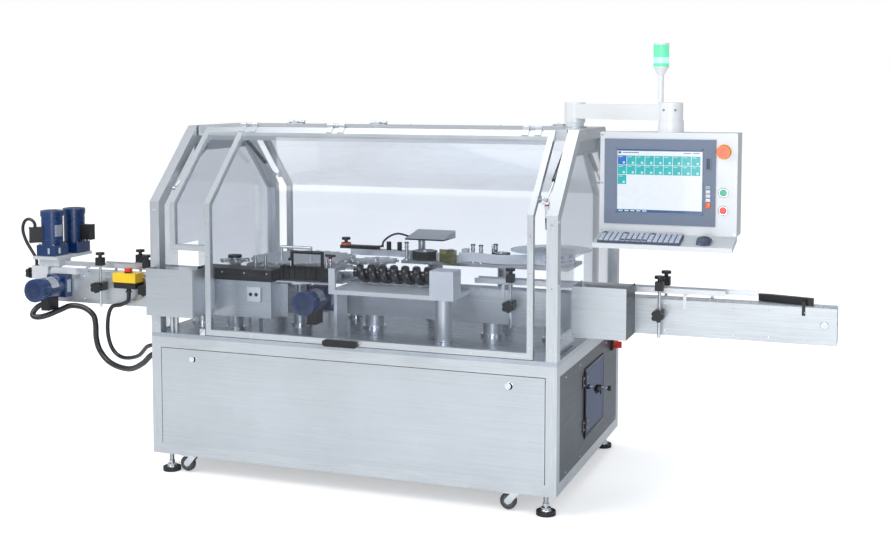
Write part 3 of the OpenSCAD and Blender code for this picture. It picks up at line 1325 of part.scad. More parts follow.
// Cables and hoses that hang at the feed end, each swept along its own points
main_hose_d = 28;
stop_hose_d = 20;
cable_d = 16;
main_hose_points = [[-715, 141, 750], [-735, 141, 750], [-765, 134, 733], [-778, 118, 708], [-768, 108, 692],
    [-738, 114, 688], [-700, 138, 698], [-650, 170, 722], [-600, 190, 742], [-530, 200, 735], [-475, 200, 700],
    [-465, 205, 650], [-470, 215, 580], [-455, 220, 520], [-400, 210, 470], [-320, 190, 448], [-220, 150, 455],
    [-120, 100, 500], [-60, 70, 545], [-30, 62, 560], [-12, 62, 560]];
stop_hose_points = [[-268, 210, 834], [-268, 210, 812], [-280, 216, 780], [-330, 230, 756], [-390, 240, 740],
    [-420, 248, 680], [-426, 254, 590], [-400, 258, 515], [-330, 244, 484], [-200, 180, 515], [-90, 92, 585],
    [-32, 62, 605], [-12, 62, 605]];
cable_points = [[-850, 240, 1128], [-850, 240, 1142], [-860, 238, 1160], [-884, 236, 1170], [-908, 236, 1160],
    [-922, 236, 1132], [-922, 238, 1095], [-908, 244, 1050], [-888, 252, 1010], [-870, 260, 975],
    [-862, 262, 950], [-862, 262, 938], [-862, 262, 928]];
motor_cable_sides = 8;
function unit(v) = v / norm(v);
function cord_dir(p, i) = unit(p[min(i + 1, len(p) - 1)] - p[max(i - 1, 0)]);
function cord_side(p) = unit([for (c = cross(p, [0.1, 1, 0.2])) c]);
// Point of a smooth curve through the route, at step t of span i
function curve_at(p, i, t) = let (a = p[max(i - 1, 0)], b = p[i], c = p[i + 1], d = p[min(i + 2, len(p) - 1)])
    0.5 * (2 * b + (c - a) * t + (2 * a - 5 * b + 4 * c - d) * t * t + (3 * b - a - 3 * c + d) * t * t * t);
function parts(p, i, n) = i == 0 || i == len(p) - 2 ? 1 : n;
function smooth(p, n) = concat([for (i = [0 : len(p) - 2]) for (k = [0 : parts(p, i, n) - 1]) curve_at(p, i, k / n)],
    [p[len(p) - 1]]);
module cord(route, d, n, sides) {
    p = smooth(route, n);
    pts = [for (i = [0 : len(p) - 1]) let (t = cord_dir(p, i), u = cord_side(t), v = cross(t, u))
        for (k = [0 : sides - 1]) p[i] + d / 2 * (cos(k * 360 / sides) * u + sin(k * 360 / sides) * v)];
    m = len(p) - 1;
    sides_f = [for (i = [0 : m - 1]) for (k = [0 : sides - 1])
        let (a = i * sides + k, b = i * sides + (k + 1) % sides) each [[a, a + sides, b + sides], [a, b + sides, b]]];
    polyhedron(points = pts, faces = concat(sides_f, [[for (k = [0 : sides - 1]) k]],
        [[for (k = [0 : sides - 1]) m * sides + sides - 1 - k]]));
}
module main_hose() place() color("black") cord(main_hose_points, main_hose_d, 2, 10);
module stop_hose() place() color("black") cord(stop_hose_points, stop_hose_d, 2, 10);
module motor_cable() place() color("black") cord(cable_points, cable_d, 1, motor_cable_sides);

cabinet_frame();
table_plate();
cabinet_panels();
floor_hardware();
front_panel();
lock_left();
lock_right();
side_door();
side_latch();
main_switch();
caster_fork_left();
caster_fork_right();
wheel_front_left();
wheel_front_right();
wheel_back_left();
wheel_back_right();
hood_left();
hood_right();
hood_top();
end_panels();
front_door_frame();
front_door_panels();
front_door_handle();
rear_door_frame();
rear_door_panels();
front_strut_tubes();
front_strut_rods();
rear_strut_tubes();
rear_strut_rods();
feed_conveyor();
discharge_conveyor();
slat_chains();
drive_sprocket();
gearmotors();
guide_rails();
rail_clamps();
stop_box();
stop_button();
shield_boxes();
guide_blocks();
carousel();
feed_star();
transfer_star();
feed_screw();
tables_and_columns();
label_head();
web_roller();
nip_roller();
label_reel();
control_arm();
control_panel();
screen();
keyboard_and_mouse();
panel_stop();
start_button();
halt_button();
signal_light();
main_hose();
stop_hose();
motor_cable();
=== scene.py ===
import bpy
import bmesh
import itertools
import math
from mathutils import Matrix, Vector


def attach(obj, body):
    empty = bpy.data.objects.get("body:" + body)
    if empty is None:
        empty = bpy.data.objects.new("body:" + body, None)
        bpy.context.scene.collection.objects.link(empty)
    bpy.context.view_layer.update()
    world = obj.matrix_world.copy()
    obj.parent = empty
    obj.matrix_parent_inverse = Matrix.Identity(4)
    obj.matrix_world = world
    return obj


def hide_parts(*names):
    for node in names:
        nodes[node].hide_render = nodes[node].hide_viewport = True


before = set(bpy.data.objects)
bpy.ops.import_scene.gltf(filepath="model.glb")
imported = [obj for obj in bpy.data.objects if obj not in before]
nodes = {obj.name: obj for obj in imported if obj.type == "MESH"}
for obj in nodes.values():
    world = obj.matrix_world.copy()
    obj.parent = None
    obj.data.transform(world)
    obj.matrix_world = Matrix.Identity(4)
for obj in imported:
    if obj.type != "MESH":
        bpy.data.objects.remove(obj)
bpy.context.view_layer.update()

# Places are in the machine's own millimetres: X from the cabinet's left side, Y from its front, Z from the floor
MID_X, MID_Y = 1103.0, 597.5
UP, FRONT, BACK, LEFT, RIGHT = (0, 0, 1), (0, -1, 0), (0, 1, 0), (-1, 0, 0), (1, 0, 0)
LENGTH, DEPTH = 2000, 1225
CAROUSEL, FEED_STAR, TRANSFER_STAR = (530, 565), (241.5, 378.5), (911.8, 592.8)
REEL, WEB_ROLLER, NIP_ROLLER = (1762, 770), (1140, 680), (1550, 640)
MUSHROOM, LAMP, ARM_POST = (-268, 210), (2364.15, 342.6), (1915, 612.5)
ARM_REACH, ARM_TURN = 584, math.radians(-31)
PANEL_Y, PANEL_BACK_Y, BEZEL_Y = 241.7, 381.7, 235.7
BUTTON_X, STOP_Z = 2651.1, 1579


def at(x, y, z):
    return Vector(((x - MID_X) / 1000, (y - MID_Y) / 1000, z / 1000))


# Camera, fitted to the photo's edges
cam_data = bpy.data.cameras.new("camera")
cam = bpy.data.objects.new("camera", cam_data)
bpy.context.scene.collection.objects.link(cam)
cam_data.sensor_width = 36
cam_data.lens = 50.8
cam_data.shift_y = -0.1028
cam_data.clip_end = 60
yaw, pitch = math.radians(20.05), math.radians(4.2)
cam.location = at(3359.2, -5104.5, 1848.3)
look = Vector((-math.sin(yaw) * math.cos(pitch), math.cos(yaw) * math.cos(pitch), -math.sin(pitch)))
cam.rotation_mode = "QUATERNION"
cam.rotation_quaternion = look.to_track_quat("-Z", "Y")
bpy.context.scene.camera = cam
bpy.context.scene.view_settings.view_transform = "Standard"


# Materials: small helpers that wire procedural colour, roughness and relief
def material(name):
    mt = bpy.data.materials.new(name)
    mt.use_nodes = True
    tree = mt.node_tree
    tree.nodes.clear()
    out = tree.nodes.new("ShaderNodeOutputMaterial")
    return mt, tree, out


def node(tree, kind, **inputs):
    n = tree.nodes.new(kind)
    for key, value in inputs.items():
        n.inputs[key.replace("_", " ")].default_value = value
    return n


def coords(tree, scale=(1, 1, 1)):
    tc = tree.nodes.new("ShaderNodeTexCoord")
    mp = tree.nodes.new("ShaderNodeMapping")
    mp.inputs["Scale"].default_value = scale
    tree.links.new(tc.outputs["Object"], mp.inputs["Vector"])
    return mp.outputs["Vector"]


def noise(tree, scale, stretch=(1, 1, 1), detail=3.0, rough=0.5):
    n = node(tree, "ShaderNodeTexNoise", Scale=scale, Detail=detail, Roughness=rough)
    tree.links.new(coords(tree, stretch), n.inputs["Vector"])
    return n.outputs["Fac"]


def ramp(tree, source, stops):
    r = tree.nodes.new("ShaderNodeValToRGB")
    els = r.color_ramp.elements
    while len(els) < len(stops):
        els.new(0.5)
    for el, (pos, col) in zip(els, stops):
        el.position = pos
        el.color = col if len(col) == 4 else (*col, 1)
    tree.links.new(source, r.inputs["Fac"])
    return r.outputs["Color"]


def remap(tree, source, low, high, a=0.0, b=1.0):
    n = node(tree, "ShaderNodeMapRange")
    n.inputs["From Min"].default_value = low
    n.inputs["From Max"].default_value = high
    n.inputs["To Min"].default_value = a
    n.inputs["To Max"].default_value = b
    tree.links.new(source, n.inputs["Value"])
    return n.outputs["Result"]


def mix(tree, factor, a, b, mode="MIX"):
    n = tree.nodes.new("ShaderNodeMix")
    n.data_type = "RGBA"
    n.blend_type = mode
    for key, value in (("Factor", factor), ("A", a), ("B", b)):
        kind = "VALUE" if key == "Factor" else "RGBA"
        socket = [s for s in n.inputs if s.name == key and s.type == kind][0]
        if isinstance(value, (int, float, tuple)):
            socket.default_value = value if key == "Factor" or len(value) == 4 else (*value, 1)
        else:
            tree.links.new(value, socket)
    return [s for s in n.outputs if s.type == "RGBA"][0]


def calc(tree, operation, a, b):
    n = tree.nodes.new("ShaderNodeMath")
    n.operation = operation
    tree.links.new(a, n.inputs[0])
    tree.links.new(b, n.inputs[1])
    return n.outputs["Value"]


def blend(tree, factor, a, b):
    n = tree.nodes.new("ShaderNodeMixShader")
    tree.links.new(factor, n.inputs["Fac"])
    tree.links.new(a.outputs[0], n.inputs[1])
    tree.links.new(b.outputs[0], n.inputs[2])
    return n


def eye_rays(tree):
    """1 for what the camera sees, also through clear sheets, and 0 for all other light."""
    rays = tree.nodes.new("ShaderNodeLightPath")
    return calc(tree, "MAXIMUM", rays.outputs["Is Camera Ray"], rays.outputs["Is Transmission Ray"])


def bump(tree, height, strength, distance):
    n = node(tree, "ShaderNodeBump", Strength=strength, Distance=distance)
    tree.links.new(height, n.inputs["Height"])
    return n.outputs["Normal"]


def shade(c, k):
    return tuple(min(1.0, v * k) for v in c[:3])


def worn_edge(tree, radius):
    bev = node(tree, "ShaderNodeBevel", Radius=radius)
    bev.samples = 3
    geo = tree.nodes.new("ShaderNodeNewGeometry")
    dot = tree.nodes.new("ShaderNodeVectorMath")
    dot.operation = "DOT_PRODUCT"
    tree.links.new(bev.outputs["Normal"], dot.inputs[0])
    tree.links.new(geo.outputs["Normal"], dot.inputs[1])
    return remap(tree, dot.outputs["Value"], 0.995, 0.86)


def surface(name, colour, rough=0.4, metallic=0.0, grain=None, grain_depth=0.25, mottle=0.08, mottle_scale=3.0,
            relief=None, relief_depth=0.15, wear=0.0, wear_colour=(0.75, 0.77, 0.8), coat=0.0, rough_span=0.08,
            emission=None, emission_strength=0.0):
    """A painted, moulded or metal finish.

    grain is the stretch of brushing along each axis, relief the scale of a fine surface texture."""
    mt, t, out = material(name)
    p = node(t, "ShaderNodeBsdfPrincipled", Metallic=metallic, Coat_Weight=coat, Coat_Roughness=0.12)
    broad = noise(t, mottle_scale, detail=4.0, rough=0.6)
    col = ramp(t, broad, [(0.3, shade(colour, 1 - mottle)), (0.7, shade(colour, 1 + mottle))])
    rough_source = broad
    height = None
    if grain:
        lines = noise(t, 1.0, grain, detail=5.0, rough=0.62)
        fine = ramp(t, lines, [(0.25, (1 - grain_depth,) * 3), (0.75, (1 + grain_depth * 0.35,) * 3)])
        col = mix(t, 1.0, col, fine, "MULTIPLY")
        rough_source = lines
        height = lines
    if relief:
        height = noise(t, relief, detail=2.0)
    if wear > 0:
        edge = worn_edge(t, 0.004)
        patch = noise(t, 22.0, detail=5.0, rough=0.7)
        col = mix(t, calc(t, "MULTIPLY", edge, remap(t, patch, 0.42, 0.62, 0.0, wear)), col, wear_colour)
    t.links.new(col, p.inputs["Base Color"])
    t.links.new(remap(t, rough_source, 0.3, 0.7, rough - rough_span, rough + rough_span), p.inputs["Roughness"])
    if height is not None:
        t.links.new(bump(t, height, relief_depth, 0.0004), p.inputs["Normal"])
    if emission:
        p.inputs["Emission Color"].default_value = (*emission, 1)
        p.inputs["Emission Strength"].default_value = emission_strength
    t.links.new(p.outputs["BSDF"], out.inputs["Surface"])
    return mt


def clear(name, tint, shine=0.06, haze=0.0, haze_colour=(0.8, 0.86, 0.95)):
    """A thin clear sheet: tint, a gloss that grows at low angles, and a little haze."""
    mt, t, out = material(name)
    stain = noise(t, 2.2, detail=4.0, rough=0.6)
    tinted = node(t, "ShaderNodeBsdfTransparent")
    t.links.new(ramp(t, stain, [(0.3, shade(tint, 0.985)), (0.7, tint)]), tinted.inputs["Color"])
    gloss = node(t, "ShaderNodeBsdfGlossy", Roughness=0.03, Color=(1, 1, 1, 1))
    facing = node(t, "ShaderNodeLayerWeight", Blend=0.22)
    last = blend(t, remap(t, facing.outputs["Fresnel"], 0.0, 1.0, shine * 0.4, 0.55), tinted, gloss)
    if haze:
        dull = node(t, "ShaderNodeBsdfDiffuse", Color=(*haze_colour, 1))
        last = blend(t, remap(t, stain, 0.3, 0.7, haze * 0.7, haze * 1.3), last, dull)
    t.links.new(last.outputs["Shader"], out.inputs["Surface"])
    return mt


steel_x, steel_y, steel_z = (
    surface("steel brushed along " + axis, (0.62, 0.66, 0.70), 0.36, 0.72, grain=grain, relief_depth=0.10, wear=0.35,
            mottle=0.05)
    for axis, grain in (("X", (6, 420, 420)), ("Y", (420, 6, 420)), ("Z", (420, 420, 6))))
panel_steel = surface("panel steel", (0.575, 0.615, 0.66), 0.33, 0.78, grain=(2.2, 520, 520), grain_depth=0.17,
                      relief_depth=0.08, mottle=0.06, mottle_scale=1.6)
table_steel = surface("table steel", (0.45, 0.50, 0.56), 0.28, 0.85, grain=(5, 300, 300), grain_depth=0.12,
                      relief_depth=0.06, mottle=0.10)
# Brushed steel whose dark colour is painted shade: it goes on the right side sheet, the side door's frame, the shield
# boxes' right part, the columns round the shafts and the rear vent slots
painted_shade_steel = surface("steel with painted shade", (0.068, 0.086, 0.110), 0.38, 0.35, grain=(420, 5, 420), grain_depth=0.12,
                     relief_depth=0.06, mottle=0.12, mottle_scale=1.4, wear=0.3)
aluminium = surface("machined aluminium", (0.66, 0.69, 0.73), 0.34, 0.8, grain=(30, 260, 260), grain_depth=0.10,
                    relief_depth=0.08, wear=0.3)
white_block = surface("anodised blocks", (0.70, 0.73, 0.77), 0.42, 0.35, mottle=0.05, relief=900, relief_depth=0.06,
                      wear=0.3)
chrome = surface("chrome", (0.72, 0.75, 0.79), 0.12, 1.0, mottle=0.10, mottle_scale=8, rough_span=0.05)
blue_paint = surface("blue paint", (0.003, 0.030, 0.125), 0.30, mottle=0.14, mottle_scale=9, relief=420,
                     relief_depth=0.10, coat=0.35, wear=0.35, wear_colour=(0.18, 0.26, 0.42))
black_plastic = surface("black plastic", (0.009, 0.010, 0.013), 0.40, mottle=0.25, mottle_scale=14, relief=800,
                        relief_depth=0.15, wear=0.35, wear_colour=(0.05, 0.055, 0.06))
gloss_black = surface("glossy black nylon", (0.012, 0.013, 0.017), 0.16, mottle=0.25, mottle_scale=10, coat=0.5,
                      relief=300, relief_depth=0.04)
yellow = surface("yellow plastic", (0.86, 0.56, 0.012), 0.36, mottle=0.06, mottle_scale=20, relief=900,
                 relief_depth=0.08, coat=0.2)
red = surface("red plastic", (0.70, 0.035, 0.025), 0.26, mottle_scale=30, coat=0.4)
orange_red = surface("orange red plastic", (0.86, 0.12, 0.02), 0.26, mottle=0.06, mottle_scale=30, coat=0.4)
green = surface("green plastic", (0.01, 0.36, 0.21), 0.24, mottle_scale=40, coat=0.4)
white_paint = surface("white paint", (0.74, 0.765, 0.79), 0.34, mottle=0.03, relief=500, relief_depth=0.05, coat=0.3,
                      wear=0.2, wear_colour=(0.55, 0.57, 0.6))
rubber = surface("rubber", (0.022, 0.023, 0.026), 0.62, mottle=0.25, mottle_scale=25, relief=600, relief_depth=0.25)
wheel_rubber = surface("caster tread", (0.05, 0.052, 0.057), 0.55, mottle=0.2, mottle_scale=30, relief=500,
                       relief_depth=0.2)
sheath = surface("cable sheath", (0.014, 0.015, 0.019), 0.34, mottle=0.3, mottle_scale=18, relief=350,
                 relief_depth=0.12, coat=0.15)
slat_plastic = surface("slat plastic", (0.56, 0.60, 0.645), 0.38, 0.25, mottle_scale=12, relief=260, relief_depth=0.10)
label_paper = surface("label paper", (0.80, 0.83, 0.88), 0.45, mottle=0.03, mottle_scale=20)
slate = surface("slate blue bezel", (0.145, 0.185, 0.265), 0.42, mottle=0.05, mottle_scale=10, relief=700,
                relief_depth=0.08, wear=0.2)
key_grey = surface("keycaps", (0.34, 0.40, 0.50), 0.45, mottle=0.06, mottle_scale=60, relief=900, relief_depth=0.08)
keyboard_shell = surface("keyboard shell", (0.045, 0.065, 0.105), 0.40, mottle=0.1, mottle_scale=30, relief=900,
                         relief_depth=0.08)
silver_paint = surface("silver paint", (0.60, 0.63, 0.665), 0.40, 0.30, mottle=0.03, mottle_scale=4, relief=900,
                       relief_depth=0.05, wear=0.2)
grey_plate = surface("bare nameplate", (0.48, 0.53, 0.60), 0.3, 0.6, grain=(900, 900, 30), grain_depth=0.1,
                     relief_depth=0.05)
clear_sheet = clear("clear sheet", (0.935, 0.948, 0.968), shine=0.02)
blue_tint = clear("blue tinted sheet", (0.30, 0.42, 0.66))
disc_clear = clear("clear reel disc", (0.84, 0.885, 0.93), shine=0.15, haze=0.08)
olive = clear("olive bracket", (0.50, 0.50, 0.30), shine=0.2, haze=0.25, haze_colour=(0.35, 0.36, 0.16))


def paint(name, base, *rules):
    """Gives a CAD node its materials. A rule is a material and a test on a face's middle, in machine millimetres."""
    o = nodes[name]
    o.data.materials.clear()
    for mt in [base] + [r[0] for r in rules]:
        o.data.materials.append(mt)
    for poly in o.data.polygons:
        c = poly.center
        x, y, z = c.x * 1000 + MID_X, c.y * 1000 + MID_Y, c.z * 1000
        index = 0
        for k, (_, test) in enumerate(rules):
            if test(x, y, z):
                index = k + 1
        poly.material_index = index


simple = {
    "table_plate": table_steel, "front_panel": panel_steel, "lock_left": chrome, "lock_right": chrome,
    "caster_fork_left": chrome, "caster_fork_right": chrome, "hood_top": steel_x, "end_panels": clear_sheet,
    "front_door_panels": clear_sheet, "front_door_handle": black_plastic, "rear_door_panels": clear_sheet,
    "front_strut_tubes": gloss_black, "front_strut_rods": chrome, "rear_strut_tubes": gloss_black,
    "rear_strut_rods": chrome, "discharge_conveyor": steel_x, "slat_chains": slat_plastic, "drive_sprocket": aluminium,
    "stop_button": red, "guide_blocks": black_plastic, "carousel": aluminium, "transfer_star": aluminium,
    "control_arm": white_paint, "screen": slate, "panel_stop": orange_red, "start_button": green, "halt_button": red,
    "main_hose": sheath, "stop_hose": sheath, "motor_cable": sheath,
}
for key, mt in simple.items():
    paint(key, mt)


def near(x, y, cx, cy, r):
    return math.hypot(x - cx, y - cy) < r


def polar(c, r, a):
    """The plan point at radius r and angle a round c."""
    return c[0] + r * math.cos(a), c[1] + r * math.sin(a)


class Form:
    """Gathers boxes, rods, rings and outlines in machine millimetres into one mesh."""

    def __init__(self):
        self.bm = bmesh.new()
        self.slot = 0

    def mark(self, verts):
        for f in {f for v in verts for f in v.link_faces}:
            f.material_index = self.slot

    def bevel(self, edges, size):
        done = bmesh.ops.bevel(self.bm, geom=edges, offset=size / 1000, segments=2, affect="EDGES", profile=0.5)
        for f in done["faces"]:
            f.material_index = self.slot

    def box(self, x, y, z, bevel=0.0):
        low, high = at(x[0], y[0], z[0]), at(x[1], y[1], z[1])
        m = Matrix.Translation((low + high) / 2) @ Matrix.Diagonal((*(high - low), 1))
        made = bmesh.ops.create_cube(self.bm, size=1, matrix=m)["verts"]
        self.mark(made)
        if bevel:
            self.bevel(list({e for v in made for e in v.link_edges}), bevel)

    def rod(self, p, q, r, sides=28, bevel=0.0):
        a, b = at(*p), at(*q)
        d = b - a
        m = Matrix.Translation((a + b) / 2) @ d.to_track_quat("Z", "Y").to_matrix().to_4x4()
        made = bmesh.ops.create_cone(self.bm, cap_ends=True, segments=sides, radius1=r / 1000, radius2=r / 1000,
                                     depth=d.length, matrix=m)["verts"]
        self.mark(made)
        if bevel:
            edges = {e for v in made for e in v.link_edges}
            self.bevel([e for e in edges if len(e.link_faces) == 2 and any(len(f.verts) > 4 for f in e.link_faces)],
                       bevel)

    def ring(self, middle, side, up, r, sides):
        """A ring of points of radius r in metres."""
        turns = [2 * math.pi * k / sides for k in range(sides)]
        return [self.bm.verts.new(middle + (side * math.cos(a) + up * math.sin(a)) * r) for a in turns]

    def skin(self, rings):
        """Joins each ring to the next and closes both ends."""
        n = len(rings[0])
        faces = [self.bm.faces.new((a[k], a[(k + 1) % n], b[(k + 1) % n], b[k]))
                 for a, b in zip(rings, rings[1:]) for k in range(n)]
        faces += [self.bm.faces.new(rings[0]), self.bm.faces.new(rings[-1])]
        for f in faces:
            f.material_index = self.slot

    def lathe(self, p, axis, profile, sides=36):
        """profile holds (along, radius) in mm, turned round the axis that starts at p."""
        turn = Vector(axis).to_track_quat("Z", "Y").to_matrix()
        side, up, ahead = (turn @ Vector(v) for v in (RIGHT, BACK, UP))
        self.skin([self.ring(at(*p) + ahead * along / 1000, side, up, max(r, 0.01) / 1000, sides)
                   for along, r in profile])

    def prism(self, points, offset):
        """A flat outline of machine points pushed along an offset in mm."""
        d = Vector(offset) / 1000
        a = [self.bm.verts.new(at(*p)) for p in points]
        b = [self.bm.verts.new(v.co + d) for v in a]
        made = [self.bm.faces.new(a), self.bm.faces.new(list(reversed(b)))]
        for k in range(len(a)):
            made.append(self.bm.faces.new((a[k], a[(k + 1) % len(a)], b[(k + 1) % len(a)], b[k])))
        for f in made:
            f.material_index = self.slot

    def sector(self, c, r0, r1, a0, a1, z0, z1):
        """A piece of a flat ring round the upright axis through c."""
        self.prism([(*polar(c, r, a), z0) for r, a in ((r0, a0), (r0, a1), (r1, a1), (r1, a0))], (0, 0, z1 - z0))

    def tube(self, points, r, sides):
        pts = [at(*p) for p in points]
        rings = []
        side = (pts[1] - pts[0]).orthogonal()
        for i, p in enumerate(pts):
            d = (pts[min(i + 1, len(pts) - 1)] - pts[max(i - 1, 0)]).normalized()
            side = (side - d * side.dot(d)).normalized()
            rings.append(self.ring(p, side, d.cross(side), r / 1000, sides))
        self.skin(rings)

    def screw(self, p, axis, r):
        """A socket-head screw whose head stands on p along the axis."""
        self.lathe(p, axis, [(0, r), (r * 0.8, r), (r, r * 0.86), (r, r * 0.5), (r * 0.5, r * 0.46), (r * 0.5, 0.01)],
                   20)

    def screws(self, xs, ys, zs, axis, r):
        """The same screw at each mix of the places along X, Y and Z. One place may be a plain number."""
        for p in itertools.product(*([v] if isinstance(v, (int, float)) else v for v in (xs, ys, zs))):
            self.screw(p, axis, r)

    def place(self, matrix):
        """Takes what was drawn about the machine's zero point to where the matrix puts it."""
        bmesh.ops.transform(self.bm, matrix=matrix @ Matrix.Translation(-at(0, 0, 0)), verts=self.bm.verts)

    def done(self, name, body, slot, *materials, stands_for=()):
        bmesh.ops.recalc_face_normals(self.bm, faces=self.bm.faces)
        mesh = bpy.data.meshes.new(name)
        self.bm.to_mesh(mesh)
        self.bm.free()
        ob = bpy.data.objects.new(name, mesh)
        bpy.context.scene.collection.objects.link(ob)
        for mt in materials:
            mesh.materials.append(mt)
        for poly in mesh.polygons:
            poly.use_smooth = True
        mesh.set_sharp_from_angle(angle=math.radians(34))
        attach(ob, body)
        if stands_for:
            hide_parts(*stands_for)
        return ob


def curve_through(points, n=6):
    """Points of a smooth curve through the given ones, as the solids are swept."""
    out_points = []
    last = len(points) - 1
    for i in range(last):
        p0, p1, p2, p3 = (Vector(points[k]) for k in (max(i - 1, 0), i, i + 1, min(i + 2, last)))
        for k in range(n):
            u = k / n
            if i in (0, last - 1):
                out_points.append(p1.lerp(p2, u))
            else:
                out_points.append(0.5 * ((2 * p1) + (p2 - p0) * u + (2 * p0 - 5 * p1 + 4 * p2 - p3) * u * u
                                         + (3 * p1 - p0 - 3 * p2 + p3) * u ** 3))
    out_points.append(Vector(points[last]))
    return out_points


# Cords: the two hoses and the motor's cable lie where their solids do
def cord_piece(name, points, diameter, stands_for):
    pts = curve_through(points)
    f = Form()
    f.tube(pts, diameter / 2, 20)
    ob = f.done(name, "machine", "cable sheath", sheath, stands_for=[stands_for])


cord_piece("main_hose_tube", [
    (-715, 141, 750), (-735, 141, 750), (-765, 134, 733), (-778, 118, 708), (-768, 108, 692), (-738, 114, 688),
    (-700, 138, 698), (-650, 170, 722), (-600, 190, 742), (-530, 200, 735), (-475, 200, 700), (-465, 205, 650),
    (-470, 215, 580), (-455, 220, 520), (-400, 210, 470), (-320, 190, 448), (-220, 150, 455), (-120, 100, 500),
    (-60, 70, 545), (-30, 62, 560), (-12, 62, 560)], 28, "main_hose")
cord_piece("stop_hose_tube", [
    (-268, 210, 834), (-268, 210, 812), (-280, 216, 780), (-330, 230, 756), (-390, 240, 740), (-420, 248, 680),
    (-426, 254, 590), (-400, 258, 515), (-330, 244, 484), (-200, 180, 515), (-90, 92, 585), (-32, 62, 605),
    (-12, 62, 605)], 20, "stop_hose")
cord_piece("motor_cable_tube", [
    (-850, 240, 1128), (-850, 240, 1142), (-860, 238, 1160), (-884, 236, 1170), (-908, 236, 1160), (-922, 236, 1132),
    (-922, 238, 1095), (-908, 244, 1050), (-888, 252, 1010), (-870, 260, 975), (-862, 262, 950), (-862, 262, 938),
    (-862, 262, 928)], 16, "motor_cable")

# Finishes of the nodes that have more than one. Where several rules hold, the last one wins
clamp_rods = [(-438, 216), (-162, 216), (-313, 384), (1672, 391), (2360, 391), (2360, 559)]
paint("cabinet_frame", steel_x, (steel_z, lambda x, y, z: 150 < z < 612 and (x < 52 or x > 1948)),
      (steel_y, lambda x, y, z: (z < 150 or z > 612) and 52 < y < 1173))
# Faces from x 1940 to the right side, the side sheet in shade, take steel with painted shade
paint("cabinet_panels", painted_shade_steel, (steel_y, lambda x, y, z: -1 < x < 60),
      (steel_x, lambda x, y, z: 60 < x < 1940), (black_plastic, lambda x, y, z: x < -0.5 or x > 2000.5))
paint("floor_hardware", chrome, (rubber, lambda x, y, z: z < 18.5))
paint("side_door", blue_tint, (black_plastic, lambda x, y, z: y < 496.5))
paint("side_latch", black_plastic, (chrome, lambda x, y, z: math.hypot(y - 770, z - 404) < 8 and 2018 < x < 2048))
for wheel, wx in (("front_left", 153), ("front_right", 1768), ("back_left", 153), ("back_right", 1768)):
    paint("wheel_" + wheel, wheel_rubber, (aluminium, lambda x, y, z: math.hypot(x - wx, z - 42) < 17))
paint("hood_left", steel_z, (steel_y, lambda x, y, z: z > 1620))
paint("hood_right", steel_z, (steel_y, lambda x, y, z: z > 1620),
      (red, lambda x, y, z: near(x, y, 1936, 62, 14) and z > 1305),
      (black_plastic, lambda x, y, z: near(x, y, 1936, 62, 14) and z < 1305))
for door in ("front_door_frame", "rear_door_frame"):
    paint(door, steel_x, (steel_z, lambda x, y, z: min(abs(x - 121), abs(x - 309), abs(x - 1879)) < 15))
paint("feed_conveyor", steel_x, (white_block, lambda x, y, z: x < -589 and z > 861),
      (silver_paint, lambda x, y, z: z > 964))
paint("gearmotors", blue_paint,
      (black_plastic, lambda x, y, z: -716 < x < -668 and z < 791 and y < 181),
      (black_plastic, lambda x, y, z: 731 < x < 779 and z < 798 and 184 < y < 264),
      (black_plastic, lambda x, y, z: 1049 < z < 1129 and (-490 - x - y) / math.sqrt(2) > 55),
      (black_plastic, lambda x, y, z: 1049 < z < 1129 and x > -708.5),
      (chrome, lambda x, y, z: 1035.5 < z < 1042.5 and (abs(x + 790) > 38 and abs(y - 300) > 38 and y < 362
                                                        or abs(x + 763) > 38 and abs(y - 450) > 38 and y > 388)))
paint("guide_rails", aluminium, (black_plastic, lambda x, y, z: x > 2762))
paint("rail_clamps", black_plastic,
      (chrome, lambda x, y, z: any(near(x, y, cx, cy, 7.6) for cx, cy in clamp_rods) and z < 990),
      (chrome, lambda x, y, z: 951 < z < 961 and any(abs(x - cx) < 5 for cx, cy in clamp_rods)),
      (chrome, lambda x, y, z: -884 < x < -860 and abs(z - 888) < 7))
paint("stop_box", yellow, (black_plastic, lambda x, y, z: z < 879))
# Beyond x 2243 the shield boxes take steel with painted shade
paint("shield_boxes", panel_steel, (steel_z, lambda x, y, z: z < 750), (painted_shade_steel, lambda x, y, z: x > 2243))
paint("feed_star", aluminium, (black_plastic, lambda x, y, z: z > 1004.5))
paint("feed_screw", gloss_black, (aluminium, lambda x, y, z: x < 879.5 or x > 1321))
# Below z 892 the columns round the three shafts take steel with painted shade
shafts = [(*CAROUSEL, 70), (*FEED_STAR, 50), (*TRANSFER_STAR, 50)]
paint("tables_and_columns", aluminium,
      (white_block, lambda x, y, z: 840 < x < 1461 and 199 < y < 426 and z > 880),
      (panel_steel, lambda x, y, z: 250 < x < 562 and 120 < y < 251 and z > 700),
      (painted_shade_steel, lambda x, y, z: z < 892 and any(near(x, y, cx, cy, r) for cx, cy, r in shafts)),
      (chrome, lambda x, y, z: z > 985.5 and (418 < x < 494 or 793 < x < 811) and y < 252),
      (chrome, lambda x, y, z: 684.5 < z < 697))
paint("label_head", aluminium, (black_plastic, lambda x, y, z: z > 1089.5 and x > 1036),
      (olive, lambda x, y, z: 1239 < x < 1346 and 1000.5 < z < 1090 and y < 640),
      (chrome, lambda x, y, z: 1001 < z < 1089 and x > 1346),
      (black_plastic, lambda x, y, z: x < 1036 and z > 1034.5), (silver_paint, lambda x, y, z: z > 1103 and x > 1036))
paint("label_reel", label_paper, (disc_clear, lambda x, y, z: z > 1060.5 and not near(x, y, *REEL, 16)),
      (chrome, lambda x, y, z: near(x, y, *REEL, 16) and z > 1059))
for roller, c in (("web_roller", WEB_ROLLER), ("nip_roller", NIP_ROLLER)):
    paint(roller, rubber, (chrome, lambda x, y, z: near(x, y, *c, 9)))
paint("control_panel", silver_paint, (white_paint, lambda x, y, z: z > 1657.5))


def above_tray(y, z):
    return z - 1190 - (y - 101.7) * 32 / 140


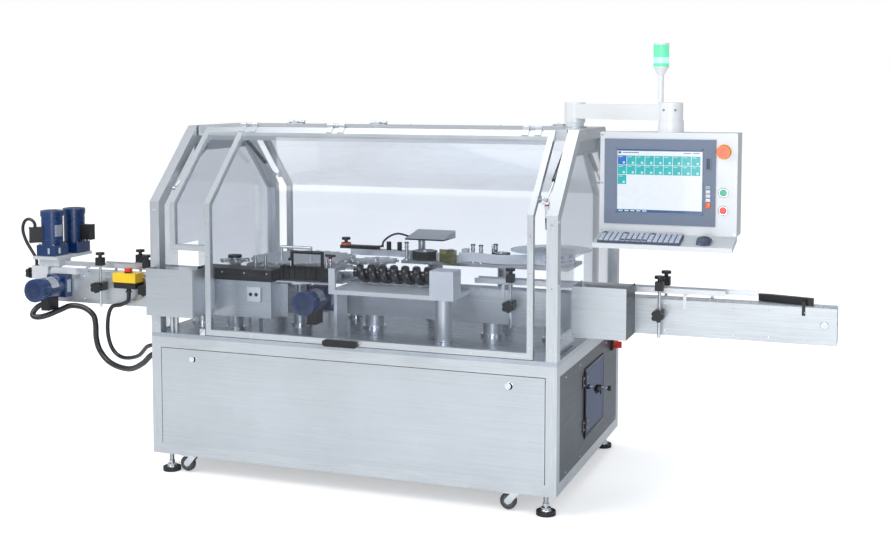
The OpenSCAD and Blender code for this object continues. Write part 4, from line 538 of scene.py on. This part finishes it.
paint("keyboard_and_mouse", keyboard_shell, (key_grey, lambda x, y, z: x < 2500 and above_tray(y, z) > 9.6))
lens = surface("signal lens", (0.16, 0.66, 0.42), 0.22, mottle=0.05, mottle_scale=30, coat=0.3,
               emission=(0.10, 0.62, 0.34), emission_strength=0.35)
lens_lit = surface("lit lens band", (0.55, 0.92, 0.76), 0.25, mottle=0.04, mottle_scale=30, coat=0.3,
                   emission=(0.35, 0.95, 0.68), emission_strength=0.55)
paint("signal_light", white_paint, (lens, lambda x, y, z: 1937.5 < z < 2034.5))
paint("main_switch", red, (black_plastic, lambda x, y, z: x < 2018))


# Slat chains: plastic slats round each conveyor, with a fine gap between them
def slats(f, y_mid, x0, x1):
    r, thick, pitch, gap, steps, axle_z, width = 74.0, 5.0, 38.1, 1.4, 4, 838, 82
    x0, x1, bend = x0 + r, x1 - r, math.pi * r
    run = x1 - x0
    count = int(2 * (run + bend) // pitch)
    step = 2 * (run + bend) / count
    for i in range(count):
        outer, inner = [], []
        for k in range(steps + 1):
            s = i * step + gap / 2 + (step - gap) * k / steps
            for rr, side in ((r, outer), (r - thick, inner)):
                if s < run:
                    x, z = x0 + s, rr
                elif s < run + bend:
                    a = (s - run) / r
                    x, z = x1 + rr * math.sin(a), rr * math.cos(a)
                elif s < 2 * run + bend:
                    x, z = x1 - (s - run - bend), -rr
                else:
                    a = (s - 2 * run - bend) / r
                    x, z = x0 - rr * math.sin(a), -rr * math.cos(a)
                side.append((x, y_mid - width / 2, axle_z + z))
        f.prism(outer + inner[::-1], (0, width, 0))


chain_verts = [(v.co.x * 1000 + MID_X, v.co.y * 1000 + MID_Y) for v in nodes["slat_chains"].data.vertices]
f = Form()
for y_mid in (300, 475):
    xs = [x for x, y in chain_verts if abs(y - y_mid) < 60]
    slats(f, y_mid, min(xs), max(xs))
f.done("chain_slats", "machine", "slat plastic", slat_plastic, stands_for=["slat_chains"])

# Gearmotors: seams, fan grille, through bolts, terminal box and a bare nameplate, drawn about each motor's axis
def place_motor(origin, turn, upright):
    m = Matrix.Translation(at(*origin))
    if not upright:
        m = m @ Matrix.Rotation(math.radians(90), 4, "X")
    return m @ Matrix.Rotation(math.radians(turn), 4, "Z")


for origin, turn, upright in (((-692, 250, 838), -90, False), ((755, 333, 845), -90, False),
                              ((-790, 300, 980), 225, True), ((-763, 450, 980), 0, True)):
    f = Form()
    for z in (78, 176):
        f.lathe((0, 0, z), UP, [(0, 54.2), (1, 55.4), (5, 55.4), (6, 54.2)], 64)
    f.lathe((0, 0, 202), UP, [(0, 54.5), (1.5, 57.9), (26, 57.9), (30, 55), (31.6, 47), (31.8, 12)], 64)
    for k in range(4):
        a = math.radians(45 + 90 * k)
        bolt = polar((0, 0), 46, a)
        f.rod((*bolt, 57), (*bolt, 78), 4.5, sides=6)
        f.lathe((*polar((0, 0), 50, a), 228), UP, [(0, 3.4), (4.8, 3.4), (5.6, 2.2)], 12)
    f.slot = 1
    for r in (14, 22, 30, 38):
        count = int(r * 0.9)
        for k in range(count):
            a0, a1 = (2 * math.pi * (k + share) / count for share in (0.12, 0.88))
            f.sector((0, 0), r - 2.1, r + 2.1, a0, a1, 233.6, 234.2)
    f.box((109.5, 112.1), (-23, 23), (68, 150))
    for y, z in itertools.product((-17, 17), (75, 143)):
        f.lathe((112, y, z), RIGHT, [(0, 3.2), (1.6, 3.2), (2, 2.4)], 12)
    f.slot = 2
    for k in range(9):
        f.sector((0, 0), 54.3, 55, math.radians(96 + k * 9), math.radians(105 + k * 9), 100, 160)
    f.box((-32, 32), (56.2, 57), (12, 42))
    f.place(place_motor(origin, turn, upright))
    f.done("motor_trim_%d" % abs(origin[0]), "machine", "blue paint", blue_paint, black_plastic, grey_plate)


# Touch screen picture: generic tiles, a title bar and a task bar
def lit(name, colour, strength=0.9, tint=0.08):
    mt, t, out = material(name)
    p = node(t, "ShaderNodeBsdfPrincipled", Roughness=0.22, Coat_Weight=0.3, Emission_Strength=strength,
             Base_Color=(*shade(colour, 0.25), 1))
    n = noise(t, 40.0, detail=2.0)
    c = ramp(t, n, [(0.3, shade(colour, 1 - tint)), (0.7, shade(colour, 1 + tint))])
    t.links.new(c, p.inputs["Emission Color"])
    t.links.new(p.outputs["BSDF"], out.inputs["Surface"])
    return mt


screen_white = lit("screen ground", (0.68, 0.73, 0.80), tint=0.03)
tile_teal = lit("teal tile", (0.018, 0.40, 0.42))
tile_blue = lit("blue tile", (0.02, 0.14, 0.50))
bar_dark = lit("task bar", (0.02, 0.09, 0.25), 0.8, 0.25)
tile_mark = lit("tile mark", (0.50, 0.78, 0.82), 0.8)
glass_low, glass_high = (2199.1, 1314.0), (2563.1, 1585.0)
glass_y = BEZEL_Y + 2
f = Form()


def flat(x0, x1, z0, z1, lift, slot):
    f.slot = slot
    f.box((x0, x1), (glass_y - lift, glass_y - lift + 0.4), (z0, z1))


gx0, gx1, gz0, gz1 = glass_low[0] + 0.5, glass_high[0] - 0.5, glass_low[1] + 0.5, glass_high[1] - 0.5
flat(gx0, gx1, gz0, gz1, 0.45, 0)
flat(gx0, gx1, gz1 - 7, gz1, 0.9, 3)
flat(gx0, gx1, gz0, gz0 + 11, 0.9, 3)
flat(gx0 + 4, gx0 + 16, gz1 - 19, gz1 - 10, 0.9, 3)
flat(gx0 + 22, gx0 + 92, gz1 - 16, gz1 - 13, 0.9, 3)
flat(gx1 - 80, gx1 - 48, gz1 - 16, gz1 - 13, 0.9, 3)
flat(gx1 - 40, gx1 - 12, gz1 - 16, gz1 - 13, 0.9, 3)
tile_w, tile_h = (gx1 - gx0 - 8) / 9, 42
for row, count in ((0, 9), (1, 9), (2, 1)):
    for k in range(count):
        tx0 = gx0 + 2 + k * tile_w
        tz1 = gz1 - 27 - row * tile_h
        flat(tx0, tx0 + tile_w - 2.2, tz1 - tile_h + 2.2, tz1, 0.9, 2 if row == 0 and k == 0 else 1)
        flat(tx0 + tile_w - 18, tx0 + tile_w - 9, tz1 - tile_h + 7, tz1 - tile_h + 16, 1.3, 4)
        flat(tx0 + 4, tx0 + 20, tz1 - 7, tz1 - 4.6, 1.3, 4)
for k in range(5):
    flat(gx0 + 6 + 26 * k, gx0 + 24 + 26 * k, gz0 + 3, gz0 + 8, 1.3, 4)
f.done("screen_picture", "control_panel", "screen glass", screen_white, tile_teal, tile_blue, bar_dark, tile_mark)

# Slot and keys at the bezel's right, and a fine frame round the glass
f = Form()
keys_x = (2578.1, 2598.1)
f.box((2579.1, 2601.1), (BEZEL_Y - 2.5, BEZEL_Y), (1500, 1556), bevel=1)
f.slot = 1
f.box((2581.1, 2595.1), (BEZEL_Y - 3.4, BEZEL_Y - 2), (1506, 1550), bevel=0.5)
for z, slot in ((1374, 2), (1392, 2), (1410, 2), (1428, 3)):
    f.slot = slot
    f.box(keys_x, (BEZEL_Y - 4, BEZEL_Y), (z - 7.5, z + 7.5), bevel=1.5)
f.slot = 4
f.box(keys_x, (BEZEL_Y - 4, BEZEL_Y), (1340, 1364), bevel=1.5)
f.slot = 0
(x0, z0), (x1, z1), edge = glass_low, glass_high, 5
for x, z in (((x0 - edge, x0), (z0 - edge, z1 + edge)), ((x1, x1 + edge), (z0 - edge, z1 + edge)),
             ((x0 - edge, x1 + edge), (z1, z1 + edge)), ((x0 - edge, x1 + edge), (z0 - edge, z0))):
    f.box(x, (BEZEL_Y - 1.2, BEZEL_Y + 1), z, bevel=0.5)
f.done("bezel_keys", "control_panel", "screen glass", slate, keyboard_shell, silver_paint, key_grey, orange_red)

# Ring round the stop button, collars of the other two, lid, vents and screws of the panel box
f = Form()
f.slot = 1
f.lathe((BUTTON_X, PANEL_Y, STOP_Z), FRONT, [(0, 31.6), (2.6, 31.6), (3.4, 30.8), (3.4, 28.8), (0, 28.8)], 48)
f.slot = 0
for z in (1407, 1332):
    f.lathe((BUTTON_X, PANEL_Y, z), FRONT, [(0, 20.5), (3.2, 20.5), (5.6, 17.2), (5.6, 15.9), (0, 15.9)], 40)
f.slot = 2
f.screws((2131, 2700), PANEL_Y, (1232, 1437, 1646), FRONT, 4)
f.screws((2160, 2415, 2668), PANEL_BACK_Y, (1250, 1440, 1630), BACK, 5)
f.slot = 3
f.box((2146, 2686), (PANEL_BACK_Y, PANEL_BACK_Y + 2.5), (1238, 1642), bevel=1.2)
f.slot = 4
for x in range(2300, 2520, 26):
    f.box((x, x + 16), (383.8, 384.9), (1540, 1600), bevel=0.3)
f.done("panel_trim", "control_panel", "brushed steel", chrome, yellow, chrome, silver_paint, black_plastic)
f = Form()
f.lathe((BUTTON_X, 221.9, STOP_Z), FRONT, [(0, 24), (1.0, 27.6), (3.4, 27.9), (4.2, 27.2), (4.4, 0.01)], 48)
f.slot = 1
for k in range(3):
    outline = [polar((BUTTON_X, STOP_Z), r, math.radians(90 + 120 * k) + da)
               for r, da in ((12, -0.5), (12, 0.4), (9, 0.75), (15, 0.75), (14.5, -0.5))]
    f.prism([(x, 217.2, z) for x, z in outline], (0, -0.35, 0))
f.done("stop_arrows", "panel_stop", "orange red plastic", orange_red, red)


# Label head: reel with generic marks, web and the rollers' caps
web = surface("label web", (0.72, 0.76, 0.83), 0.35, mottle=0.04, mottle_scale=25, coat=0.2)
print_blue = surface("printed blue marks", (0.06, 0.15, 0.62), 0.4, mottle=0.1, mottle_scale=40)
f = Form()
f.slot = 1
labels, marks = 12, 5
part = 2 * math.pi / labels
for k in range(labels):
    for z0, z1, share, start in ((1012, 1022, 0.62, 0.30), (1030, 1046, 0.50, 0.42)):
        for j in range(marks):
            b0 = (k + start * 0.2 + share * j / marks) * part
            f.sector(REEL, 116.1, 116.6, b0, b0 + share / 5.6 * part, z0, z1)
f.slot = 0
f.lathe((*REEL, 1000.8), UP, [(0, 118), (1.6, 118), (1.6, 60), (0, 60)], 72)
f.slot = 2
f.lathe((*REEL, 1064), UP, [(0, 34), (5, 34), (7, 31), (7, 17), (0, 17)], 40)
for k in range(3):
    f.screw((*polar(REEL, 26, math.radians(30 + 120 * k)), 1070), UP, 4)
f.lathe((*REEL, 1078), UP, [(0, 15.5), (8, 15.5), (10, 13), (10, 0.01)], 32)
f.done("reel_print", "label_reel", "label paper", web, print_blue, chrome)

f = Form()


def web_strip(points, low, high, thick=0.7):
    """An upright ribbon of label web through plan points."""
    for a, b in zip(points, points[1:]):
        d = Vector((b[0] - a[0], b[1] - a[1], 0)).normalized()
        n = Vector((-d.y, d.x, 0)) * thick
        f.prism([(a[0], a[1], low), (b[0], b[1], low), (b[0] + n.x, b[1] + n.y, low), (a[0] + n.x, a[1] + n.y, low)],
                (0, 0, high - low))


tangent = [polar(REEL, 117.5, math.radians(a)) for a in (262, 256, 250)]
nip_arc = [polar(NIP_ROLLER, 43, math.radians(a)) for a in (275, 262, 250)]
web_strip(tangent + nip_arc + [(1400, 645.2), (1340, 617)], 1004, 1050)
web_strip([(1241, 616), (1222, 640), (1203.5, 668)], 1003, 1042)
f.slot = 1
f.box((1624, 1660), (651, 652), (1014, 1040))
f.done("label_web", "machine", "label paper", web, print_blue)

f = Form()
for c, r, z in ((WEB_ROLLER, 62, 1041), (NIP_ROLLER, 42, 1054)):
    f.lathe((*c, z), UP, [(0, r - 6), (2, r - 6), (2, r - 12), (0.4, r - 13), (0.4, 12), (5, 11), (5, 0.01)], 48)
f.done("roller_caps", "machine", "chrome", aluminium)


# Drive side: ribs and strip of the black guide, a knob and a tee knob with its orange ring
f = Form()
for x in range(572, 782, 10):
    f.box((x, x + 4), (150.6, 152), (944, 998), bevel=0.4)
f.box((168, 562), (150.4, 151.9), (951, 983), bevel=0.6)
f.slot = 1
f.screws((190, 300, 420, 540), 151.9, 967, FRONT, 4)
f.screws((592, 768), 152, 935, FRONT, 4)
f.done("guide_ribs", "machine", "black plastic", black_plastic, chrome)

f = Form()
f.slot = 1
f.rod((626, 232, 1000), (626, 232, 1030), 5, bevel=0.5)
f.rod((826, 250, 1000), (826, 250, 1052), 5.5, bevel=0.5)
f.slot = 2
f.lathe((826, 250, 1026), UP, [(0, 6), (0, 9.5), (6, 9.5), (6, 6)], 28)
f.slot = 0
f.lathe((626, 232, 1026), UP, [(0, 9), (3, 12), (11, 12), (14, 9), (14, 0.01)], 28)
f.lathe((826, 250, 1040), UP, [(0, 7), (2, 9), (10, 9), (13, 7)], 24)
f.rod((800, 250, 1056), (852, 250, 1056), 6, bevel=2.5)
f.done("guide_knobs", "machine", "black plastic", black_plastic, chrome, orange_red)

# Cabinet: rings of the locks
f = Form()
for x in (226, 1790):
    f.lathe((x, 0, 566), FRONT, [(0, 17), (1.6, 17), (2.4, 15.6), (2.4, 14.6), (0, 14.6)], 40)
f.done("lock_rings", "front_panel", "chrome", chrome)

# Side door: frame in steel with painted shade, hinge leaves with their screws, knob
f = Form()
door_x, y0, y1, z0, z1, edge = 2004.3, 491, 873, 223, 552, 12
hinges_z = (262, 470)
for y, z in (((y0 + edge / 2, y0 + 1.5 * edge), (z0, z1)), ((y1 - edge, y1), (z0, z1)),
             ((y0 + 1.5 * edge, y1 - edge), (z1 - edge, z1)), ((y0 + 1.5 * edge, y1 - edge), (z0, z0 + edge))):
    f.box((door_x, door_x + 1.6), y, z, bevel=0.5)
f.slot = 1
for z in hinges_z:
    f.box((door_x + 0.2, door_x + 4), (496, 528), (z, z + 56), bevel=1.2)
f.lathe((door_x, 735, 404), RIGHT, [(0, 13), (10, 13), (13, 11), (13, 0.01)], 28)
f.slot = 2
f.screws(door_x + 4, 518, [z + dz for z in hinges_z for dz in (12, 44)], RIGHT, 4)
f.rod((door_x + 6, 735, 404), (door_x + 6, 758, 404), 4, sides=16)
f.done("side_door_trim", "side_door", "black plastic", painted_shade_steel, black_plastic, chrome)

# Cabinet: fixed hinge leaves, screws of the sheets, threads and nuts of the feet, nuts where the hoses enter
f = Form()
f.slot = 1
for z in hinges_z:
    f.box((LENGTH, LENGTH + 3.6), (452, 484), (z, z + 56), bevel=1.2)
f.slot = 0
f.screws(LENGTH + 3.6, 466, [z + dz for z in hinges_z for dz in (12, 44)], RIGHT, 4)
f.screws(LENGTH, (140, 400, 930, 1120), (170, 592), RIGHT, 4.5)
f.screws(0, (140, 400, 930, 1120), (170, 592), LEFT, 4.5)
f.screws((90, 560, 1030, 1500, 1910), DEPTH, (170, 592), BACK, 4.5)
for foot in itertools.product((62, 1938), (62, 1163)):
    for z in range(34, 84, 4):
        f.lathe((*foot, z), UP, [(0, 10.2), (1.2, 11.2), (2.4, 10.2)], 20)
    f.rod((*foot, 84), (*foot, 97.5), 19, sides=6, bevel=1)
    f.lathe((*foot, 17.5), UP, [(0, 24), (6, 22), (12, 15), (14, 12)], 32)
for z, r in ((560, 14), (605, 10)):
    f.rod((-16, 62, z), (-9, 62, z), r + 7.5, sides=6, bevel=0.8)
f.done("cabinet_screws", "machine", "chrome", chrome, black_plastic)

# Two rows of vent slots in the rear sheet, drawn as strips of steel with painted shade
f = Form()
for row in (300, 1250):
    for x in range(row, row + 360, 30):
        f.box((x, x + 16), (DEPTH, DEPTH + 1.2), (300, 480))
f.done("rear_slots", "machine", "dark panel", painted_shade_steel)

# Hood: screws of the end frames and roof rails
f = Form()
for x, way in ((0, LEFT), (LENGTH, RIGHT)):
    f.screws(x, (480, 745), 1640, way, 4.5)
    f.screws(x, (25, 1200), (720, 1010, 1280), way, 4.5)
f.screws((25, 1975), 0, (730, 1000, 1270), FRONT, 4.5)
f.screws((130, 520, 1000, 1480, 1830), (381, 844), 1660, UP, 4.5)
f.done("hood_screws", "machine", "chrome", chrome)

# Doors: screws, and the posts or bar of the handles
f = Form()
f.screws((309, 1879), 0, (740, 900, 1060, 1220), FRONT, 4)
f.screws(range(360, 1860, 180), 0, 700.5, FRONT, 3.6)
f.slot = 1
for x in (924, 1068):
    f.rod((x, -1, 700), (x, 0, 700), 9, bevel=0.2)
f.done("front_door_screws", "front_door", "chrome", chrome, black_plastic)
f = Form()
f.screws(range(180, 1860, 180), DEPTH, 700.5, BACK, 3.6)
f.slot = 1
for x in (924, 1068):
    f.rod((x, DEPTH, 706), (x, DEPTH + 26, 706), 8, bevel=1)
f.rod((915, DEPTH + 24, 706), (1077, DEPTH + 24, 706), 5.8, bevel=2)
f.done("rear_door_screws", "rear_door", "chrome", chrome, black_plastic)

# Switch clip at the right stile
f = Form()
f.box((1918, 1948), (36, 64), (1352, 1362), bevel=1.5)
for x in (1925, 1945):
    f.rod((x, 50, 1362), (x, 50, 1384), 2.2, sides=12)
f.rod((1923.5, 50, 1383), (1946.5, 50, 1383), 2.2, sides=12)
f.done("switch_clip", "machine", "chrome", aluminium)

# Conveyors: bolts on the side plates and the end bearings
f = Form()
feed_y, out_y, out_back_y = 250, 425, 525
f.screws(range(-560, 0, 140), feed_y, (772, 888), FRONT, 4.5)
f.screws(range(2080, 3100, 150), out_y, (772, 888), FRONT, 4.5)
f.screws(range(2080, 3100, 150), out_back_y, (772, 888), BACK, 4.5)
f.screws(range(1500, 1900, 130), out_y, 888, FRONT, 4.5)
f.screws((-840, -800, -712), feed_y, 895, FRONT, 5)
for y, way in ((out_y, FRONT), (out_back_y, BACK)):
    f.lathe((3060, y, 838), way, [(0, 17), (5, 17), (7, 15), (7, 7), (3, 6), (3, 0.01)], 32)
f.done("conveyor_screws", "machine", "chrome", chrome)

# Stop box: lid seam, screws, gland, ring under the mushroom and the cable beside it
f = Form()
f.box((-335.2, -200.8), (168.8, 251.2), (877, 880), bevel=0.8)
f.lathe((*MUSHROOM, 926), UP, [(0, 21), (2.4, 21), (3.6, 18.5), (3.6, 9.5)], 40)
f.rod((*MUSHROOM, 826), (*MUSHROOM, 834), 15, sides=6, bevel=0.8)
f.slot = 1
f.screws((-325, -211), (179, 241), 926, UP, 3.6)
f.slot = 2
f.tube(curve_through([(-200, 232, 902), (-190, 236, 900), (-182, 240, 880), (-186, 242, 846), (-204, 244, 812),
                      (-232, 246, 790), (-262, 249, 775)], 5), 5, 10)
f.done("stop_box_trim", "machine", "black plastic", black_plastic, chrome,
       surface("beige cable", (0.48, 0.36, 0.26), 0.42, mottle=0.12, mottle_scale=20))
f = Form()
f.lathe((*MUSHROOM, 944), UP, [(0, 17), (0.6, 20.2), (3, 20.4), (4.3, 19.4), (5.0, 15), (5.2, 0.01)], 44)
f.done("stop_cap", "stop_button", "red plastic", red)

# Signal light: ribs of the lens, bright band inside and the base's seams
f = Form()
ribs = 40
for k in range(ribs):
    rib = polar(LAMP, 32, 2 * math.pi * k / ribs)
    f.rod((*rib, 1940), (*rib, 2032), 1.5, sides=6)
f.slot = 1
f.lathe((*LAMP, 1953), UP, [(0, 32.4), (0, 33.2), (26, 33.2), (26, 32.4)], 48)
f.slot = 2
f.lathe((*LAMP, 2032), UP, [(0, 32.5), (1, 33.4), (7, 33.2), (8.8, 30), (9, 0.01)], 48)
f.lathe((*LAMP, 1932), UP, [(0, 30), (0, 33.6), (6, 33.6), (6, 31.5)], 48)
f.done("lamp_ribs", "control_arm", "signal lens", lens, lens_lit, white_paint)

# Swing arm: caps, seams and set screws
f = Form()
arm_head = polar(ARM_POST, ARM_REACH, ARM_TURN)
for c, r, z in ((ARM_POST, 48, 1779), (arm_head, 50, 1782)):
    f.lathe((*c, z), UP, [(0, r - 1), (2, r - 4), (2.6, r - 10), (2.8, 0.01)], 56)
f.lathe((*ARM_POST, 1700), UP, [(0, 42.4), (0, 46), (4, 46), (4, 42.4)], 56)
f.lathe((*arm_head, 1706), UP, [(0, 50), (0, 52), (5, 52), (5, 50)], 56)
f.slot = 1
for a in (math.radians(-120), math.radians(-60)):
    f.lathe((*polar(arm_head, 49.4, a), 1752), (math.cos(a), math.sin(a), 0),
            [(0, 5), (1.4, 5), (1.4, 2.6), (0.2, 2.4), (0.2, 0.01)], 20)
f.done("arm_caps", "control_arm", "white paint", white_paint, black_plastic)

# Small cable on the label head, ending in the beam and the cover
f = Form()
f.tube(curve_through([(905, 690, 1050), (912, 690, 1075), (945, 694, 1104), (985, 700, 1118), (1020, 708, 1112),
                      (1048, 720, 1100), (1062, 730, 1094)]), 5, 12)
f.slot = 1
for p in ((905, 690, 1048), (1060, 728, 1095)):
    f.lathe(p, UP, [(0, 9), (8, 9), (10, 6.5)], 20)
f.slot = 2
f.screws(range(1060, 1217, 52), 700, 1101, UP, 4)
f.done("head_cable", "machine", "cable sheath", sheath, black_plastic, chrome)

# Fittings beside the label head: collars and caps of the chrome pins, sensor blocks
f = Form()
for pin in ((1062, 630), (1400, 655), (1446, 640), (1500, 705)):
    f.slot = 0
    f.lathe((*pin, 1000), UP, [(0, 16), (4, 16), (5, 14), (5, 9)], 28)
    f.lathe((*pin, 1062), UP, [(0, 9), (0, 12), (3, 12), (3, 9)], 28)
    f.slot = 1
    f.lathe((*pin, 1080), UP, [(0, 9), (1, 11.6), (6, 11.6), (8, 9), (8, 0.01)], 28)
f.box((1452, 1524), (700, 736), (1001, 1022), bevel=3)
f.lathe((1470, 780, 1000.5), UP, [(0, 38), (20, 38), (23, 35), (23, 0.01)], 44)
f.slot = 0
for x in (1460, 1482):
    f.rod((x, 780, 1022), (x, 780, 1072), 5, bevel=0.6)
f.rod((1455, 780, 1070), (1487, 780, 1070), 5, bevel=1)
f.slot = 2
f.box((1300, 1330), (770, 812), (1000.5, 1046), bevel=2)
f.box((1210, 1236), (800, 842), (1000.5, 1034), bevel=2)
f.done("head_fittings", "machine", "chrome", chrome, black_plastic, white_block)
for body, c, r, count in (("carousel", CAROUSEL, 67.5, 6), ("transfer_star", TRANSFER_STAR, 25.2, 4)):
    f = Form()
    for k in range(count):
        f.screw((*polar(c, r, 2 * math.pi * k / count + 0.26), 990), UP, 5)
    f.done(body + "_screws", body, "machined aluminium", chrome)

# Rounded ribs that wind round the feed screw, on its flight's own pitch, and swell from both ends
f = Form()
steps, sides, pitch, turns, start_x = 24, 14, 58, 7, 897
screw_y, screw_z, core_r, most_r = 407, 958, 30.5, 45.9
rings = []
for i in range(turns * steps + 1):
    a = 2 * math.pi * i / steps
    swell = min(1.0, 0.25 + i / 10, 0.25 + (turns * steps - i) / 10)
    ring = []
    for k in range(sides):
        b = 2 * math.pi * k / sides
        y, z = polar((screw_y, screw_z), min(core_r + 10.8 * swell * math.sin(b) + 4.6 * swell, most_r), a)
        ring.append(f.bm.verts.new(at(start_x + i / steps * pitch + 20 * swell * math.cos(b), y, z)))
    rings.append(ring)
f.skin(rings)
f.done("screw_ribs", "feed_screw", "black plastic", gloss_black)

# Twin socket on the drive housing: pale block with two holes, and the housing's lid screws
f = Form()
housing_y, block = 155, 15.2
f.box((438, 510), (housing_y - block, housing_y), (833, 903), bevel=2)
for x in (459, 489):
    f.slot = 0
    f.lathe((x, housing_y - block, 868), FRONT, [(0, 11.5), (1.4, 11.5), (1.6, 9.2), (0, 9.2)], 28)
    f.slot = 1
    f.lathe((x, housing_y - block, 868), FRONT, [(0, 9), (0.5, 9), (0.6, 0.01)], 28)
f.slot = 2
f.screws((272, 540), housing_y, (760, 900), FRONT, 4)
f.done("twin_socket", "machine", "white paint", white_block, black_plastic, chrome)

# Orange ring under the head's left knob, and a screw beside it
f = Form()
f.lathe((700, 705, 1051), UP, [(0, 24.3), (0, 26), (9, 25), (12, 16), (12, 12)], 36)
f.slot = 1
f.screw((884, 705, 1050), UP, 4)
f.done("head_ring", "machine", "orange red plastic", orange_red, chrome)

# Keyboard: a cap on each key, drawn flat and then laid on the tilted tray. Most caps are lighter than the keys below
# them, as painted light on the key tops; a few are dark like the shell
# The keycaps' own plastic made lighter on the tops: painted light falling on them from above
key_top_painted_light = surface("keycap tops with painted light", (0.50, 0.56, 0.66), 0.42, mottle=0.06, mottle_scale=60, relief=900,
                  relief_depth=0.08)
columns, rows, gap, inset = 15, 5, 4, 1.6
key_w, key_d = 346 / columns, 108 / rows
f = Form()
for row, col in itertools.product(range(rows), range(columns)):
    x0, y0 = 4 + col * key_w + inset, 12 + row * key_d + inset
    f.slot = 1 if row == 4 and col in (0, 4, 9) or row == 0 and 3 < col < 9 else 0
    f.box((x0, x0 + key_w - gap - 2 * inset), (y0, y0 + key_d - gap - 2 * inset), (12.6, 14.2), bevel=0.7)
f.place(Matrix.Translation(at(2143.1, 101.7, 1190)) @ Matrix.Rotation(math.atan2(32, 140), 4, "X"))
f.done("key_caps", "control_panel", "keys", key_top_painted_light, keyboard_shell)


# Floor, background and lamps
floor_mesh = bpy.data.meshes.new("floor")
floor_mesh.from_pydata([(-30, -30, 0), (30, -30, 0), (30, 30, 0), (-30, 30, 0)], [], [(0, 1, 2, 3)])
floor = bpy.data.objects.new("floor", floor_mesh)
bpy.context.scene.collection.objects.link(floor)
floor.location.z = -0.001
# The floor glows softly for the camera only, more so far from the machine, where the photo is white
floor_material, t, out = material("floor")
dull = node(t, "ShaderNodeBsdfDiffuse", Color=(0.93, 0.94, 0.95, 1))
soft_glow = node(t, "ShaderNodeEmission", Color=(1, 1, 1, 1))
distance = t.nodes.new("ShaderNodeVectorMath")
distance.operation = "LENGTH"
t.links.new(t.nodes.new("ShaderNodeTexCoord").outputs["Object"], distance.inputs[0])
level = remap(t, distance.outputs["Value"], 2.0, 4.6, 0.40, 0.64)
t.links.new(calc(t, "MULTIPLY", eye_rays(t), level), soft_glow.inputs["Strength"])
both = t.nodes.new("ShaderNodeAddShader")
t.links.new(dull.outputs["BSDF"], both.inputs[0])
t.links.new(soft_glow.outputs["Emission"], both.inputs[1])
t.links.new(both.outputs["Shader"], out.inputs["Surface"])
floor_mesh.materials.append(floor_material)

# The world is white to the camera and paler as light
world = bpy.data.worlds.new("world")
bpy.context.scene.world = world
world.use_nodes = True
t = world.node_tree
t.nodes.clear()
out = t.nodes.new("ShaderNodeOutputWorld")
daylight = node(t, "ShaderNodeBackground", Strength=0.50, Color=(0.93, 0.96, 1.0, 1))
backdrop = node(t, "ShaderNodeBackground", Strength=1.0, Color=(1, 1, 1, 1))
t.links.new(blend(t, eye_rays(t), daylight, backdrop).outputs["Shader"], out.inputs["Surface"])


def lamp(name, place, target, size, power, colour=(1, 1, 1)):
    ld = bpy.data.lights.new(name, "AREA")
    ld.shape = "RECTANGLE"
    ld.size, ld.size_y = size
    ld.energy = power
    ld.color = colour
    ob = bpy.data.objects.new(name, ld)
    bpy.context.scene.collection.objects.link(ob)
    ob.location = place
    ob.visible_camera = False
    ob.rotation_mode = "QUATERNION"
    ob.rotation_quaternion = (Vector(target) - Vector(place)).to_track_quat("-Z", "Y")


lamp("key", (-2.6, -4.2, 4.6), (0, 0, 0.7), (3.6, 2.6), 165, (1, 0.99, 0.97))
lamp("fill", (4.2, -3.4, 3.0), (0.4, 0, 0.8), (3.0, 2.4), 34, (0.95, 0.97, 1))
lamp("inside", (1.5, -5.0, 1.6), (0, 0, 0.9), (2.0, 2.2), 58, (1, 0.99, 0.98))
lamp("top", (0, 0.4, 5.2), (0, 0.2, 0.6), (5.0, 2.4), 95)
